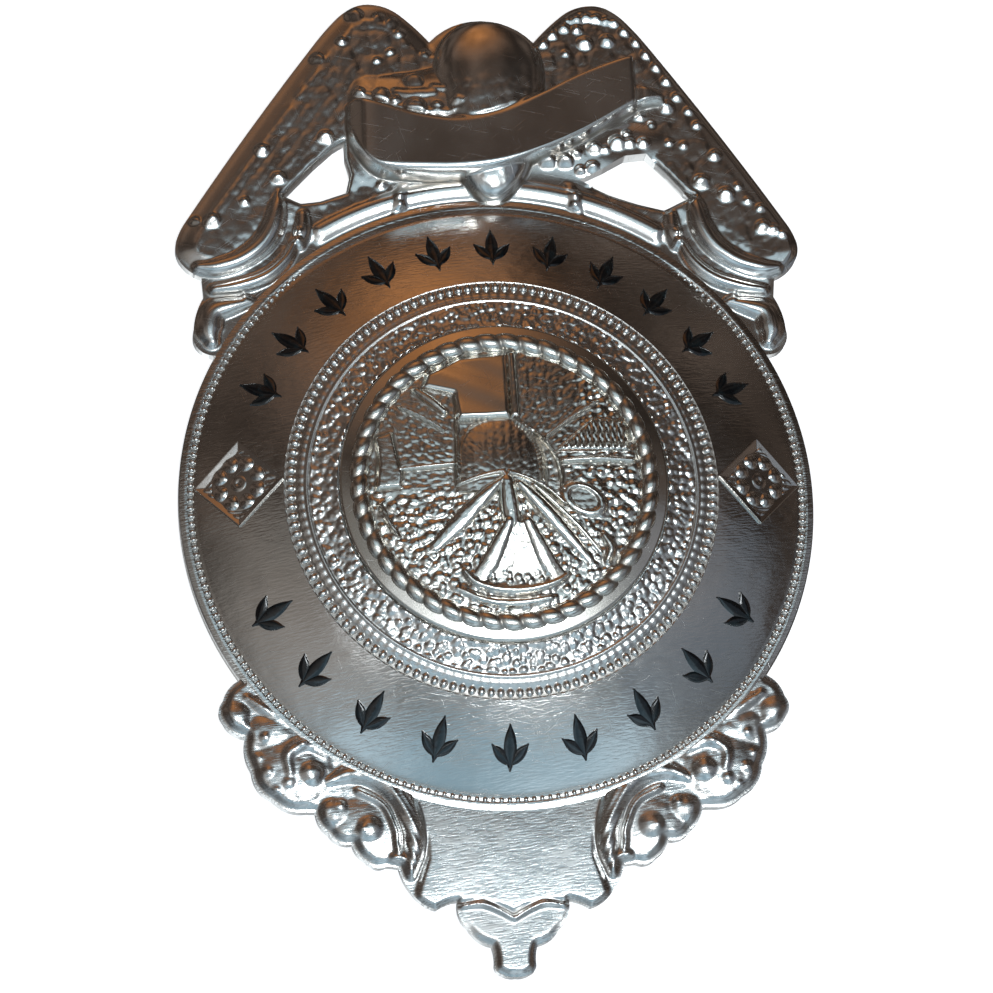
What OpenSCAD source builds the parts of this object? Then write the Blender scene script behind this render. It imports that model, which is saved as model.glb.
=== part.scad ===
// Fire department badge: a die-struck plate with an eagle crest and scrolls, an applied
// centre seal, two rows of black enamel marks and a brooch pin behind.
// Millimetres. The badge lies face up, +Z out of its face and +Y towards the eagle.
// The origin is in the plane of its back, under the centre of the round field.

/* [Field] */
// Diameter of the round field over its rim
disc_d = 45.6; // [42:0.2:50]
// Thickness of the struck plate at its edge
edge_t = 0.9; // [0.7:0.05:1.2]
// Radius of the sphere that the field is domed to
dome_rad = 46; // [42:1:60]
// Thickness of the domed field
wall = 1.1; // [0.8:0.05:1.3]
// Width of the flat rim behind the field, which the badge lies on
rim_w = 1.6; // [1.3:0.1:2.2]
// Width of the beaded border round the field
border_w = 1.05; // [0.8:0.05:1.3]
// Height of the border above the edge of the plate
border_h = 0.25; // [0.15:0.05:0.4]
// Mean diameter of the inner beaded ring
ring_d = 30; // [28:0.2:32]
// Width of a beaded ring
bead_w = 0.6; // [0.4:0.05:0.8]
// Height of a beaded ring above the metal beside it
bead_h = 0.3; // [0.2:0.05:0.45]

/* [Seal] */
// Diameter of the applied seal
seal_d = 23.3; // [21:0.1:25]
// Thickness of the seal at its edge
seal_edge_t = 0.6; // [0.4:0.05:0.8]
// Rise of the seal's ground from its edge to its middle
seal_rise = 0.9; // [0.4:0.1:1.4]
// Depth of the recess that the seal lies in
seat_depth = 0.35; // [0.25:0.05:0.5]
// Diameter of the rope ring on the seal
rope_d = 20.6; // [18:0.1:21]
// Thickness of the rope
rope_t = 1.1; // [0.8:0.1:1.5]
// Height of the figures on the seal above its ground
figure_h = 0.9; // [0.5:0.05:1.2]
// Clearance between an applied piece and the plate
fit = 0.08; // [0.05:0.01:0.12]

/* [Crest] */
// Span of the wings
crest_span = 45.4; // [40:0.2:50]
// Height of the wing peaks above the middle of the field
crest_h = 38.3; // [36:0.1:42]
// Height of the wing relief above the edge of the plate
wing_rise = 1.5; // [1:0.1:2]
// Height of the eagle's head above the edge of the plate
head_rise = 2.5; // [1.8:0.1:3]
// Height of the ribbon above the edge of the plate
ribbon_rise = 1.9; // [1.4:0.1:2.3]
// Thickness of the perch rod
rod_d = 2.1; // [1.8:0.1:2.4]
// Number of long feathers across a wing
feathers = 6; // [4:1:7]

/* [Foot] */
// Span of the bottom scrolls
foot_span = 39.9; // [36:0.1:44]
// Distance from the middle of the field to the tip of the finial
foot_h = 34.4; // [32:0.1:37]
// Height of the scroll relief above the edge of the plate
scroll_rise = 1.2; // [0.8:0.1:1.5]

/* [Enamel] */
// Distance of the marks from the middle of the field
mark_r = 18.6; // [18.2:0.1:19]
// Height of one mark
mark_h = 3.1; // [2.6:0.1:3.5]
// Depth of the recess that holds the enamel
mark_depth = 0.4; // [0.3:0.05:0.5]
// Number of marks along the upper half
upper_marks = 11; // [9:1:12]
// Number of marks along the lower half
lower_marks = 9; // [7:1:10]
// Width of a lozenge between the rows
lozenge_w = 6.6; // [5:0.1:7]

/* [Pin] */
// Length of the pin between its two posts
pin_len = 22; // [18:0.5:23]
// Thickness of the pin wire
pin_d = 1.1; // [0.9:0.1:1.3]
// Distance of the pin above the middle of the field
pin_y = 3; // [0:0.5:4]

/* [Hidden] */
disc_r = disc_d / 2;
field_r = disc_r - border_w;
ring_r = ring_d / 2;
seal_r = seal_d / 2;
seat_r = seal_r + fit;
rope_r = rope_d / 2;
crest_w = crest_span / 2;
foot_w = foot_span / 2;
rod_r = disc_r + rod_d / 4;
embed = edge_t / 3;
step_in = 0.15;
bevel = 0.15;
line_w = 0.24;
tuck = 0.3;
groove = 0.05;
border_z = edge_t + border_h;
seat_z = field_z(seat_r) - seat_depth;
seal_z = seat_z + fit;
panel_z = seat_z - wall;
back_r = disc_r - rim_w;
dome_steps = 6;
lozenge_rise = 0.4;
lozenge_turn = 2.4;
upper_arc = 131;
lower_arc = 124;
pin_post = 2.2;

// Height of the domed field at distance r from its middle
function field_z(r) = border_z + sqrt(dome_rad ^ 2 - r ^ 2) - sqrt(dome_rad ^ 2 - field_r ^ 2);

// Points of the field's section between two distances, lift above it
function field_pts(a, b, lift = 0, n = dome_steps) =
    [for (i = [0:n]) let (r = a + (b - a) * i / n) [r, field_z(r) + lift]];

// Section of a raised ring at distance r, w wide and h high
function ring_pts(r, w, h) = [
    [r + w / 2, field_z(r + w / 2)],
    [r + w / 5, field_z(r) + h],
    [r - w / 5, field_z(r) + h],
    [r - w / 2, field_z(r - w / 2)]
];

// Points of an arc from p to q that bows out to the left of the way by sag, without q
function arc_pts(p, q, sag, n = 5) =
    abs(sag) < 0.02 ? [p] :
    let (d = q - p, side = [-d.y, d.x] / norm(d))
    let (rad = (norm(d) ^ 2 / 4 + sag ^ 2) / (2 * sag), c = (p + q) / 2 + side * (sag - rad))
    let (a = atan2(p.y - c.y, p.x - c.x), half = sign(sag) * asin(norm(d) / 2 / abs(rad)))
    [for (i = [0:n - 1]) c + abs(rad) * [cos(a - 2 * half * i / n), sin(a - 2 * half * i / n)]];

// Way through rows of x share, y share and bow share, for a shape w wide and h high
function way(rows, w, h) = concat(
    [for (i = [0:len(rows) - 2])
        each arc_pts([rows[i].x * w, rows[i].y * h], [rows[i + 1].x * w, rows[i + 1].y * h],
            rows[i].z * w)],
    [[rows[len(rows) - 1].x * w, rows[len(rows) - 1].y * h]]
);

function mirrored(pts) = [for (i = [len(pts) - 1:-1:0]) [-pts[i].x, pts[i].y]];
function place(rows, w, h) = [for (p = rows) [p.x * w, p.y * h]];

// Right half of the crest's outline, from the top of the head down to the field
// columns: x share of crest_w, y share of crest_h, bow share of crest_w
CREST = [
    [0, 0.967, 0.02], [0.17, 0.922, 0.003], [0.265, 0.978, 0.0095], [0.366, 1, 0.004],
    [0.423, 0.991, 0.003], [0.48, 0.963, 0.0015], [0.546, 0.915, 0.006], [0.969, 0.552, 0.003],
    [1, 0.512, 0.006], [0.991, 0.475, 0.008], [0.92, 0.441, 0], [0.914, 0.402, 0.007],
    [0.948, 0.337, 0.014], [0.92, 0.292, 0.006], [0.863, 0.287, 0], [0.77, 0.235, 0]
];
// The pierced gaps under the wings, columns: x share of crest_w, y share of crest_h
GAP_LEFT = [
    [-0.655, 0.603], [-0.6, 0.589], [-0.537, 0.594], [-0.454, 0.611], [-0.44, 0.648],
    [-0.454, 0.679], [-0.456, 0.713], [-0.493, 0.699], [-0.557, 0.664]
];
GAP_RIGHT = [
    [0.3, 0.637], [0.379, 0.659], [0.45, 0.683], [0.52, 0.688], [0.586, 0.648],
    [0.639, 0.612], [0.665, 0.603], [0.573, 0.577], [0.485, 0.59], [0.396, 0.608]
];
// Wing sections from the neck to the tip
// columns: leading edge x and y, trailing edge x and y, height share of wing_rise
WING = [
    [0.2, 0.935, 0.19, 0.87, 0.7], [0.32, 0.99, 0.27, 0.85, 0.9], [0.46, 0.97, 0.35, 0.82, 1],
    [0.555, 0.905, 0.41, 0.775, 1], [0.66, 0.815, 0.5, 0.71, 0.95],
    [0.765, 0.725, 0.59, 0.65, 0.9], [0.865, 0.64, 0.68, 0.6, 0.85],
    [0.95, 0.565, 0.8, 0.54, 0.75], [0.985, 0.52, 0.915, 0.495, 0.6]
];
// Rounded covert feathers, columns: x share of crest_w, y share of crest_h, radius share
COVERTS = [
    [0.24, 0.935, 0.5], [0.3, 0.965, 0.55], [0.37, 0.975, 0.6], [0.44, 0.96, 0.6],
    [0.5, 0.925, 0.55], [0.545, 0.885, 0.5], [0.59, 0.845, 0.45], [0.34, 0.915, 0.6],
    [0.415, 0.905, 0.6], [0.47, 0.862, 0.55]
];
// Head from its crown down, columns: x share, y share, half width share, height share
HEAD = [
    [0.01, 0.962, 0.05, 0.3], [0.01, 0.935, 0.145, 0.75], [0.01, 0.9, 0.175, 0.97],
    [0.01, 0.865, 0.18, 1], [0.01, 0.825, 0.17, 0.95], [0.01, 0.78, 0.15, 0.8]
];
BEAK = [
    [-0.08, 0.86, 0.06, 0.9], [-0.16, 0.84, 0.055, 0.92], [-0.225, 0.83, 0.045, 0.85],
    [-0.275, 0.812, 0.02, 0.5]
];
BREAST = [
    [0, 0.9, 0.22, 0.55], [0.02, 0.82, 0.3, 0.62], [0.02, 0.72, 0.3, 0.55],
    [0.02, 0.65, 0.28, 0.4], [0.02, 0.6, 0.25, 0.3]
];
// Ribbon, columns: x share of crest_w, lower and upper y shares, height share
RIBBON = [
    [-0.437, 0.7, 0.78, 0.6], [-0.41, 0.67, 0.793, 0.9], [-0.35, 0.66, 0.787, 1],
    [-0.22, 0.655, 0.765, 0.97], [-0.09, 0.657, 0.758, 0.95], [0.045, 0.67, 0.773, 0.95],
    [0.175, 0.692, 0.807, 0.97], [0.31, 0.723, 0.847, 1], [0.44, 0.765, 0.878, 1],
    [0.49, 0.783, 0.88, 0.85]
];
RIBBON_END = [[0.47, 0.787, 0.835, 0.75], [0.53, 0.79, 0.827, 0.7], [0.585, 0.792, 0.815, 0.55]];
// Down feathers under the ribbon, columns: x share, y share, radius share
DOWN = [
    [0.2, 0.672, 0.5], [0.26, 0.675, 0.5], [0.3, 0.7, 0.4], [0.36, 0.703, 0.45],
    [0.42, 0.71, 0.5], [0.475, 0.71, 0.4], [0.525, 0.71, 0.4], [0.6, 0.785, 0.4],
    [-0.32, 0.64, 0.5], [-0.24, 0.64, 0.45], [0.12, 0.66, 0.4], [0.31, 0.662, 0.5],
    [-0.41, 0.805, 0.35], [-0.31, 0.797, 0.5], [-0.1, 0.8, 0.45], [-0.2, 0.79, 0.5]
];
// Scrolls of a shoulder, columns: x share, y share, half width share, height share
SHOULDER = [
    [
        [0.69, 0.597, 0.045, 0.9], [0.685, 0.55, 0.04, 0.95], [0.7, 0.507, 0.035, 0.9],
        [0.75, 0.47, 0.032, 0.85], [0.82, 0.449, 0.03, 0.8], [0.9, 0.441, 0.025, 0.7]
    ],
    [
        [0.6, 0.575, 0.035, 0.8], [0.605, 0.53, 0.035, 0.8], [0.635, 0.486, 0.032, 0.75],
        [0.7, 0.444, 0.03, 0.7], [0.79, 0.415, 0.03, 0.7], [0.89, 0.408, 0.025, 0.6]
    ],
    [
        [0.72, 0.407, 0.03, 0.6], [0.82, 0.379, 0.035, 0.75], [0.9, 0.355, 0.04, 0.8],
        [0.925, 0.32, 0.035, 0.6]
    ],
    [[0.86, 0.54, 0.03, 0.8], [0.93, 0.52, 0.04, 0.9], [0.935, 0.487, 0.035, 0.8]]
];
// Right half of the foot's outline, from the field down to the tip of the finial
// columns: x share of foot_w, y share of foot_h, bow share of foot_w
FOOT = [
    [0.917, 0.366, 0], [0.94, 0.381, 0.01], [0.997, 0.424, 0.015], [0.997, 0.468, 0.013],
    [0.922, 0.5, 0.012], [0.902, 0.57, 0.018], [0.832, 0.631, 0.015], [0.717, 0.657, 0],
    [0.682, 0.657, 0.01], [0.637, 0.703, 0.015], [0.556, 0.724, 0.008], [0.511, 0.759, 0.015],
    [0.436, 0.77, 0], [0.396, 0.773, 0.005], [0.356, 0.823, 0.01], [0.271, 0.86, -0.005],
    [0.195, 0.843, 0.014], [0.16, 0.901, 0.012], [0.08, 0.936, -0.004], [0.073, 0.977, 0.006],
    [0.05, 0.994, 0.005], [0, 1, 0]
];
TAIL_PLATE = [
    [0.31, 0.645], [0.3, 0.7], [0.3, 0.77], [0.32, 0.81], [0.26, 0.845], [0.19, 0.83],
    [0.12, 0.84], [0, 0.865]
];
// Leaves and lobes of a bottom scroll
// columns: x share of foot_w, y share of foot_h, half width share, height share
LEAVES = [
    [
        [0.45, 0.628, 0.02, 0.7], [0.375, 0.655, 0.03, 0.9], [0.335, 0.698, 0.035, 1],
        [0.33, 0.75, 0.035, 0.95], [0.355, 0.81, 0.015, 0.6]
    ],
    [
        [0.38, 0.645, 0.02, 0.6], [0.475, 0.625, 0.03, 0.85], [0.6, 0.602, 0.03, 0.85],
        [0.69, 0.574, 0.02, 0.6]
    ],
    [[0.94, 0.4, 0.02, 0.6], [0.86, 0.44, 0.04, 0.8], [0.8, 0.49, 0.045, 0.8]],
    [[0, 0.875, 0.14, 0.5], [0, 0.92, 0.1, 0.75], [0, 0.965, 0.055, 0.75], [0, 0.985, 0.04, 0.6]]
];
// Volutes, columns: x share of foot_w, y share of foot_h, radius share, first angle
VOLUTES = [[0.785, 0.567, 0.12, 150], [0.51, 0.69, 0.115, 150]];
LOBES = [[0.95, 0.447, 0.055], [0.445, 0.747, 0.045], [0.6, 0.705, 0.045]];

// Figures of the seal, all shares of the seal's radius
// columns: x share, y share, half width share, height share of figure_h
HELMET = [
    [0.03, 0.46, 0.04, 0.5], [0.03, 0.4, 0.15, 0.8], [0.03, 0.28, 0.24, 0.95],
    [0.03, 0.12, 0.28, 1], [0.03, -0.02, 0.29, 0.9]
];
BRIM = [
    [-0.47, -0.4, 0.03, 0.6], [-0.32, -0.18, 0.04, 0.9], [-0.14, -0.03, 0.045, 1],
    [0.03, 0.02, 0.045, 1.05], [0.2, -0.03, 0.045, 1], [0.38, -0.18, 0.04, 0.9],
    [0.52, -0.42, 0.03, 0.6]
];
FRONT = [[0.03, -0.05, 0.05, 1], [0.04, -0.3, 0.13, 0.95], [0.05, -0.6, 0.22, 0.8]];
BAND = [
    [-0.36, -0.58, 0.04, 0.5], [-0.15, -0.68, 0.05, 0.7], [0.05, -0.71, 0.055, 0.75],
    [0.25, -0.68, 0.05, 0.7], [0.44, -0.58, 0.04, 0.5]
];
TOOLS = [
    [[-0.2, 0.48, 0.2, 0.4], [-0.2, 0.8, 0.17, 0.4]],
    [[0.08, 0.4, 0.03, 0.75], [0.08, 0.82, 0.03, 0.75]],
    [[0.26, 0.28, 0.03, 0.7], [0.66, 0.58, 0.03, 0.7]],
    [[-0.6, 0.47, 0.025, 0.7], [-0.3, 0.3, 0.025, 0.7]],
    [[-0.4, 0.56, 0.04, 0.7], [-0.33, 0.46, 0.05, 0.8], [-0.3, 0.36, 0.03, 0.7]],
    [[-0.72, 0.33, 0.045, 0.7], [-0.73, 0.16, 0.05, 0.75], [-0.71, -0.02, 0.045, 0.7]],
    [[-0.7, 0.16, 0.05, 0.6], [-0.3, 0.13, 0.07, 0.6]],
    [[0.34, 0.12, 0.025, 0.6], [0.8, 0.12, 0.025, 0.6]],
    [[0.36, 0.4, 0.025, 0.6], [0.76, 0.4, 0.025, 0.6]],
    [[0.3, 0.05, 0.04, 0.6], [0.42, -0.03, 0.08, 0.75], [0.52, -0.1, 0.13, 0.85]]
];
rungs = 5;
rope_turns = 44;

// Closed solid through rings of points of equal number
module loft(rings) {
    m = len(rings[0]);
    last = (len(rings) - 1) * m;
    sides = [
        for (i = [0:len(rings) - 2], j = [0:m - 1])
            let (k = (j + 1) % m)
            [i * m + j, (i + 1) * m + j, (i + 1) * m + k, i * m + k]
    ];
    polyhedron(
        points = [for (r = rings) each r],
        faces = concat([[for (j = [0:m - 1]) j]], sides, [[for (j = [m - 1:-1:0]) last + j]])
    );
}

// Rounded ridge along rows of x, y, half width and height, all in millimetres
module ridge(rows, n = 5) {
    last = len(rows) - 1;
    loft([
        for (i = [0:last])
            let (a = rows[max(i - 1, 0)], b = rows[min(i + 1, last)], c = rows[i])
            let (d = [b.x - a.x, b.y - a.y], side = [-d.y, d.x] / norm(d))
            [
                for (j = [0:n])
                    let (t = 180 * j / n)
                    [c.x + side.x * c[2] * cos(t), c.y + side.y * c[2] * cos(t), c[3] * sin(t)]
            ]
    ]);
}

// Rows of shares brought to a shape w wide and h high, with relief of height rise
function sized(rows, w, h, rise) =
    [for (p = rows) [p.x * w, p.y * h, p[2] * w, embed + p[3] * rise]];

// Rounded feather tip or ball, r in radius at its foot
module bump(x, y, r, top) {
    translate([x, y, 0])
        cylinder(r1 = r * 1.1, r2 = r * 0.55, h = top, $fn = 6);
}

// The face that a row of the ribbon's or the wing's table spans, as a ring of points
function cut_ring(a, b, low, heights) = concat(
    [[a.x, a.y, low]],
    [for (i = [0:len(heights) - 1]) let (p = a + (b - a) * i / (len(heights) - 1))
        [p.x, p.y, heights[i]]],
    [[b.x, b.y, low]]
);

module wing() {
    n = feathers * 2;
    loft([
        for (row = WING)
            cut_ring(
                [row[0] * crest_w, row[1] * crest_h], [row[2] * crest_w, row[3] * crest_h], 0,
                [for (i = [0:n]) embed + wing_rise * row[4]
                    * (0.35 + 0.4 * sin(180 * i / n) + 0.25 * abs(sin(180 * feathers * i / n)))]
            )
    ]);
    for (c = COVERTS)
        bump(c.x * crest_w, c.y * crest_h, c.z * wing_rise, embed + wing_rise * 1.05);
}

module ribbon(rows) {
    loft([
        for (row = rows)
            cut_ring(
                [row[0] * crest_w, row[2] * crest_h], [row[0] * crest_w, row[1] * crest_h], 0,
                [for (s = [0.88, 1, 0.94, 1, 0.88]) embed + ribbon_rise * row[3] * s]
            )
    ]);
}

module shoulder() {
    for (rows = SHOULDER)
        ridge(sized(rows, crest_w, crest_h, wing_rise));
}

// Perch rod along the top of the field, with a band near either end
module perch_rod() {
    ridge([for (a = [124:-7.5:56]) [rod_r * cos(a), rod_r * sin(a), rod_d / 2, embed + rod_d * 0.6]]);
    for (a = [74, 106])
        ridge([for (r = [-0.62, 0, 0.62])
            [(rod_r + r * rod_d) * cos(a), (rod_r + r * rod_d) * sin(a), rod_d / 5,
                embed + rod_d * (0.75 - abs(r) * 0.6)]]);
}

module crest_2d() {
    half = way(CREST, crest_w, crest_h);
    difference() {
        polygon(concat(half, mirrored(half)));
        polygon(place(GAP_LEFT, crest_w, crest_h));
        polygon(place(GAP_RIGHT, crest_w, crest_h));
    }
}

module foot_2d() {
    half = way(FOOT, foot_w, -foot_h);
    polygon(concat(half, mirrored(half)));
}

// Flat part of the plate that joins the field under its rim
module ledge() {
    linear_extrude(edge_t)
        difference() {
            children();
            circle(r = disc_r - tuck, $fn = 120);
        }
}

// Relief of height rise on a ledge, inside its edge and clear of the field
module raised(rise) {
    translate([0, 0, edge_t - embed])
        intersection() {
            children(0);
            linear_extrude(embed + 2 * rise)
                difference() {
                    offset(delta = -step_in)
                        children(1);
                    circle(r = disc_r + groove, $fn = 120);
                }
        }
}

// Wings, head, ribbon and scrolls, brought to the height of the eagle's head
module crest() {
    resize([0, 0, edge_t + head_rise]) {
        ledge()
            crest_2d();
        raised(head_rise) {
            crest_relief();
            crest_2d();
        }
    }
}

module crest_relief() {
    for (side = [0, 1])
        mirror([side, 0, 0]) {
            wing();
            shoulder();
        }
    ridge(sized(BREAST, crest_w, crest_h, head_rise));
    ridge(sized(HEAD, crest_w, crest_h, head_rise), 9);
    ridge(sized(BEAK, crest_w, crest_h, head_rise));
    ribbon(RIBBON);
    ribbon(RIBBON_END);
    for (c = DOWN)
        bump(c.x * crest_w, c.y * crest_h, c.z * wing_rise, embed + wing_rise);
    perch_rod();
}

// Ridge that curls in from its outer end to an eye
module volute(x, y, r, first) {
    turn = 500;
    steps = 14;
    ridge([
        for (i = [0:steps])
            let (k = i / steps, a = first - turn * k, d = r * (1 - 0.8 * k))
            [x + d * cos(a), y + d * sin(a), r * (0.24 - 0.08 * k),
                embed + scroll_rise * (0.75 + 0.25 * k)]
    ]);
}

module foot_side() {
    for (rows = LEAVES)
        ridge(sized(rows, foot_w, -foot_h, scroll_rise));
    for (v = VOLUTES)
        volute(v.x * foot_w, -v.y * foot_h, v.z * foot_w, v[3]);
    for (c = LOBES)
        bump(c.x * foot_w, -c.y * foot_h, c.z * foot_w, embed + scroll_rise * 0.8);
}

// Scrolls, tail plate and finial, brought to the height of the scrolls
module foot() {
    resize([0, 0, edge_t + scroll_rise]) {
        ledge()
            foot_2d();
        raised(scroll_rise) {
            foot_relief();
            foot_2d();
        }
    }
}

module foot_relief() {
    half = place(TAIL_PLATE, foot_w, -foot_h);
    for (side = [0, 1])
        mirror([side, 0, 0])
            foot_side();
    linear_extrude(embed + scroll_rise * 0.4)
        polygon(concat(half, mirrored(half)));
}

// Leaf of an enamelled mark, from the origin outwards
function leaf_pts(len, w) = concat(
    arc_pts([0, 0], [len, 0], w / 2, 6), arc_pts([len, 0], [0, 0], w / 2, 6)
);

// A palmette of three leaves on a foot
module mark() {
    spread = 42;
    translate([-mark_h / 2, 0]) {
        polygon(leaf_pts(mark_h, mark_h * 0.3));
        for (a = [-spread, spread])
            translate([mark_h * 0.12, 0])
                rotate(a)
                    polygon(leaf_pts(mark_h * 0.62, mark_h * 0.24));
    }
}

// Row of marks about the direction mid, all shrunk by a clearance
module marks(mid, arc, count, turn, shrink) {
    offset(delta = -shrink)
        for (i = [0:count - 1])
            rotate(mid - arc / 2 + arc * i / (count - 1))
                translate([mark_r, 0])
                    rotate(turn)
                        mark();
}

module upper_row(shrink) {
    marks(90, upper_arc, upper_marks, 0, shrink);
}

module lower_row(shrink) {
    marks(270, lower_arc, lower_marks, 180, shrink);
}

// Shell under the face of the field, between two depths
module field_band(low, top) {
    a = mark_r + mark_h * 0.8;
    b = mark_r - mark_h * 0.8;
    rotate_extrude()
        polygon(concat(field_pts(a, b, -low), field_pts(b, a, -top)));
}

module enamel(low, top) {
    intersection() {
        field_band(low, top);
        linear_extrude(field_z(0))
            children();
    }
}

// Lozenge with a rosette and ruled lines, in the plane of the field
module lozenge() {
    w = lozenge_w / 2;
    h = w * 0.94;
    lines = [-0.62, -0.36, 0.36, 0.62];
    translate([0, 0, -embed])
        linear_extrude(embed + lozenge_rise * 0.5)
            polygon([[w, 0], [0, h], [-w, 0], [0, -h]]);
    for (k = lines)
        translate([-w * (0.9 - abs(k)), k * h - line_w / 2])
            cube([2 * w * (0.9 - abs(k)), line_w, lozenge_rise * 0.8]);
    for (a = [0:45:315])
        rotate(a)
            translate([w * 0.36, 0])
                cylinder(r = w * 0.14, h = lozenge_rise);
    cylinder(r = w * 0.17, h = lozenge_rise * 1.2);
}

// Solid of the field with its border and rings, before its back is hollowed
module field() {
    rotate_extrude()
        polygon(concat(
            [[0, 0], [disc_r, 0], [disc_r, border_z - bevel], [disc_r - bevel, border_z]],
            [[field_r + bead_w * 1.2, border_z], [field_r + bead_w * 0.9, border_z + bead_h]],
            [[field_r + bead_w * 0.3, border_z + bead_h], [field_r, border_z]],
            field_pts(field_r - bead_w / 3, ring_r + bead_w),
            ring_pts(ring_r, bead_w, bead_h),
            ring_pts(ring_r - bead_w * 1.3, bead_w * 0.6, bead_h * 0.6),
            field_pts(ring_r - bead_w * 2, seat_r, 0, 3),
            [[seat_r, seat_z], [0, seat_z]]
        ));
}

module field_hollow() {
    panel_r = sqrt(dome_rad ^ 2 - (dome_height() + panel_z + wall) ^ 2);
    rotate_extrude()
        polygon(concat(
            [[0, -1], [back_r, -1]],
            field_pts(back_r, panel_r, -wall),
            [[0, panel_z]]
        ));
}

// Distance from the field's border down to the middle of its sphere, less its height
function dome_height() = sqrt(dome_rad ^ 2 - field_r ^ 2) - border_z;

module plate() {
    color("silver") {
        difference() {
            union() {
                field();
                for (side = [0, 1])
                    mirror([side, 0, 0])
                        rotate(lozenge_turn)
                            translate([mark_r, 0, field_z(mark_r)])
                                rotate([0, asin(mark_r / dome_rad), 0])
                                    lozenge();
            }
            field_hollow();
            enamel(mark_depth, -2)
                upper_row(0);
            enamel(mark_depth, -2)
                lower_row(0);
        }
        crest();
        foot();
    }
}

// Height of the seal's ground at distance r from its middle
function ground_z(r) = seal_edge_t * 0.8 + seal_rise * (1 - (r / seal_r) ^ 2);

// Ridge on the domed ground of the seal
module figure(rows, n = 5) {
    last = len(rows) - 1;
    loft([
        for (i = [0:last])
            let (a = rows[max(i - 1, 0)], b = rows[min(i + 1, last)], c = rows[i])
            let (d = [b.x - a.x, b.y - a.y], side = [-d.y, d.x] / norm(d))
            [
                for (j = [0:n])
                    let (t = 180 * j / n, p = (c * [[1, 0], [0, 1], [0, 0], [0, 0]]
                        + side * c[2] * cos(t)) * seal_r)
                    [p.x, p.y, ground_z(norm(p)) - embed + (c[3] * figure_h + embed) * sin(t)]
            ]
    ]);
}

module centre_seal() {
    color("gainsboro")
        translate([0, 0, seal_z]) {
            rotate_extrude($fn = 60)
                polygon([
                    [0, 0], [seal_r, 0], [seal_r, seal_edge_t * 0.8],
                    [seal_r - bevel, seal_edge_t], [rope_r + rope_t * 0.75, seal_edge_t * 1.3],
                    [rope_r + rope_t * 0.55, ground_z(rope_r)],
                    [rope_r - rope_t / 2, ground_z(rope_r - rope_t / 2)],
                    [seal_r * 0.5, ground_z(seal_r * 0.5)], [0, ground_z(0)]
                ]);
            for (i = [0:rope_turns - 1])
                rotate(360 * i / rope_turns)
                    hull() {
                        for (k = [-0.3, 0.3])
                            translate([rope_r + k * rope_t, k * rope_t * 0.5, ground_z(rope_r)])
                                sphere(rope_t * 0.36, $fn = 6);
                    }
            figure(HELMET, 7);
            for (rows = [BRIM, FRONT, BAND])
                figure(rows);
            for (rows = TOOLS)
                figure(rows, 3);
            for (i = [1:rungs])
                figure([for (y = [0.12, 0.4]) [0.34 + 0.44 * i / (rungs + 1), y, 0.02, 0.5]], 3);
        }
}

module enamel_upper() {
    color("black")
        enamel(mark_depth - fit, fit / 2)
            upper_row(fit);
}

module enamel_lower() {
    color("black")
        enamel(mark_depth - fit, fit / 2)
            lower_row(fit);
}

// Pin, its two posts and their feet, in one piece
module pin_back() {
    wire_z = pin_d;
    foot_t = 0.6;
    top = panel_z - fit;
    color("darkgray")
        translate([0, pin_y, 0]) {
            translate([-pin_len / 2, 0, wire_z])
                rotate([0, 90, 0])
                    cylinder(d = pin_d, h = pin_len, $fn = 24);
            for (side = [-1, 1]) {
                translate([side * pin_len / 2 - pin_post / 2, -pin_d / 2, wire_z - pin_d / 2])
                    cube([pin_post, pin_d, top - wire_z + pin_d / 2]);
                translate([side * pin_len / 2 - pin_post / 2, -pin_post / 2, top - foot_t])
                    cube([pin_post, pin_post, foot_t]);
            }
        }
}

plate();
centre_seal();
enamel_upper();
enamel_lower();
pin_back();
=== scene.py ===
"""A firefighter's breast badge, lying face up: one struck and plated sheet with an eagle crest and
scrolls, an applied seal with a rope border, and two rows of black enamelled palmettes.

Shapes are worked out in millimetres as whole arrays and put into the meshes in metres."""
import math

import bpy
import numpy as np
from mathutils import Matrix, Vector
from mathutils.geometry import delaunay_2d_cdt


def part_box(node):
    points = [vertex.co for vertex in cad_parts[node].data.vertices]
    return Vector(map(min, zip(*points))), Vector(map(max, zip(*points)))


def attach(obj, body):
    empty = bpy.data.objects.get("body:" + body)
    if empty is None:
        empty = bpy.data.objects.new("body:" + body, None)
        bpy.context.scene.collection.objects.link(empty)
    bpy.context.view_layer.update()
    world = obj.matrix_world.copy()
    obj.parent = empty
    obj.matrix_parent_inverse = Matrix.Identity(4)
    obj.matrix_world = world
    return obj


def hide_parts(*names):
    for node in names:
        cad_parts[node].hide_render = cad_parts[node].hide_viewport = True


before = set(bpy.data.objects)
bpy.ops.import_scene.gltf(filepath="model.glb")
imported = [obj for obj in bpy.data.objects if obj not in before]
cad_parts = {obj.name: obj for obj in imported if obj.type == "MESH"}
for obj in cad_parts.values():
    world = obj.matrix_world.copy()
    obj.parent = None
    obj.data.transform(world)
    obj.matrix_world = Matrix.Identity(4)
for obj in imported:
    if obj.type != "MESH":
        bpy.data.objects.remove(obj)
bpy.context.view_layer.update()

MM = 0.001
PLATE_LOW, PLATE_HIGH = (np.array(corner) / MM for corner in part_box("plate"))
SEAL_LOW, SEAL_HIGH = (np.array(corner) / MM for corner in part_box("centre_seal"))

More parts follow.
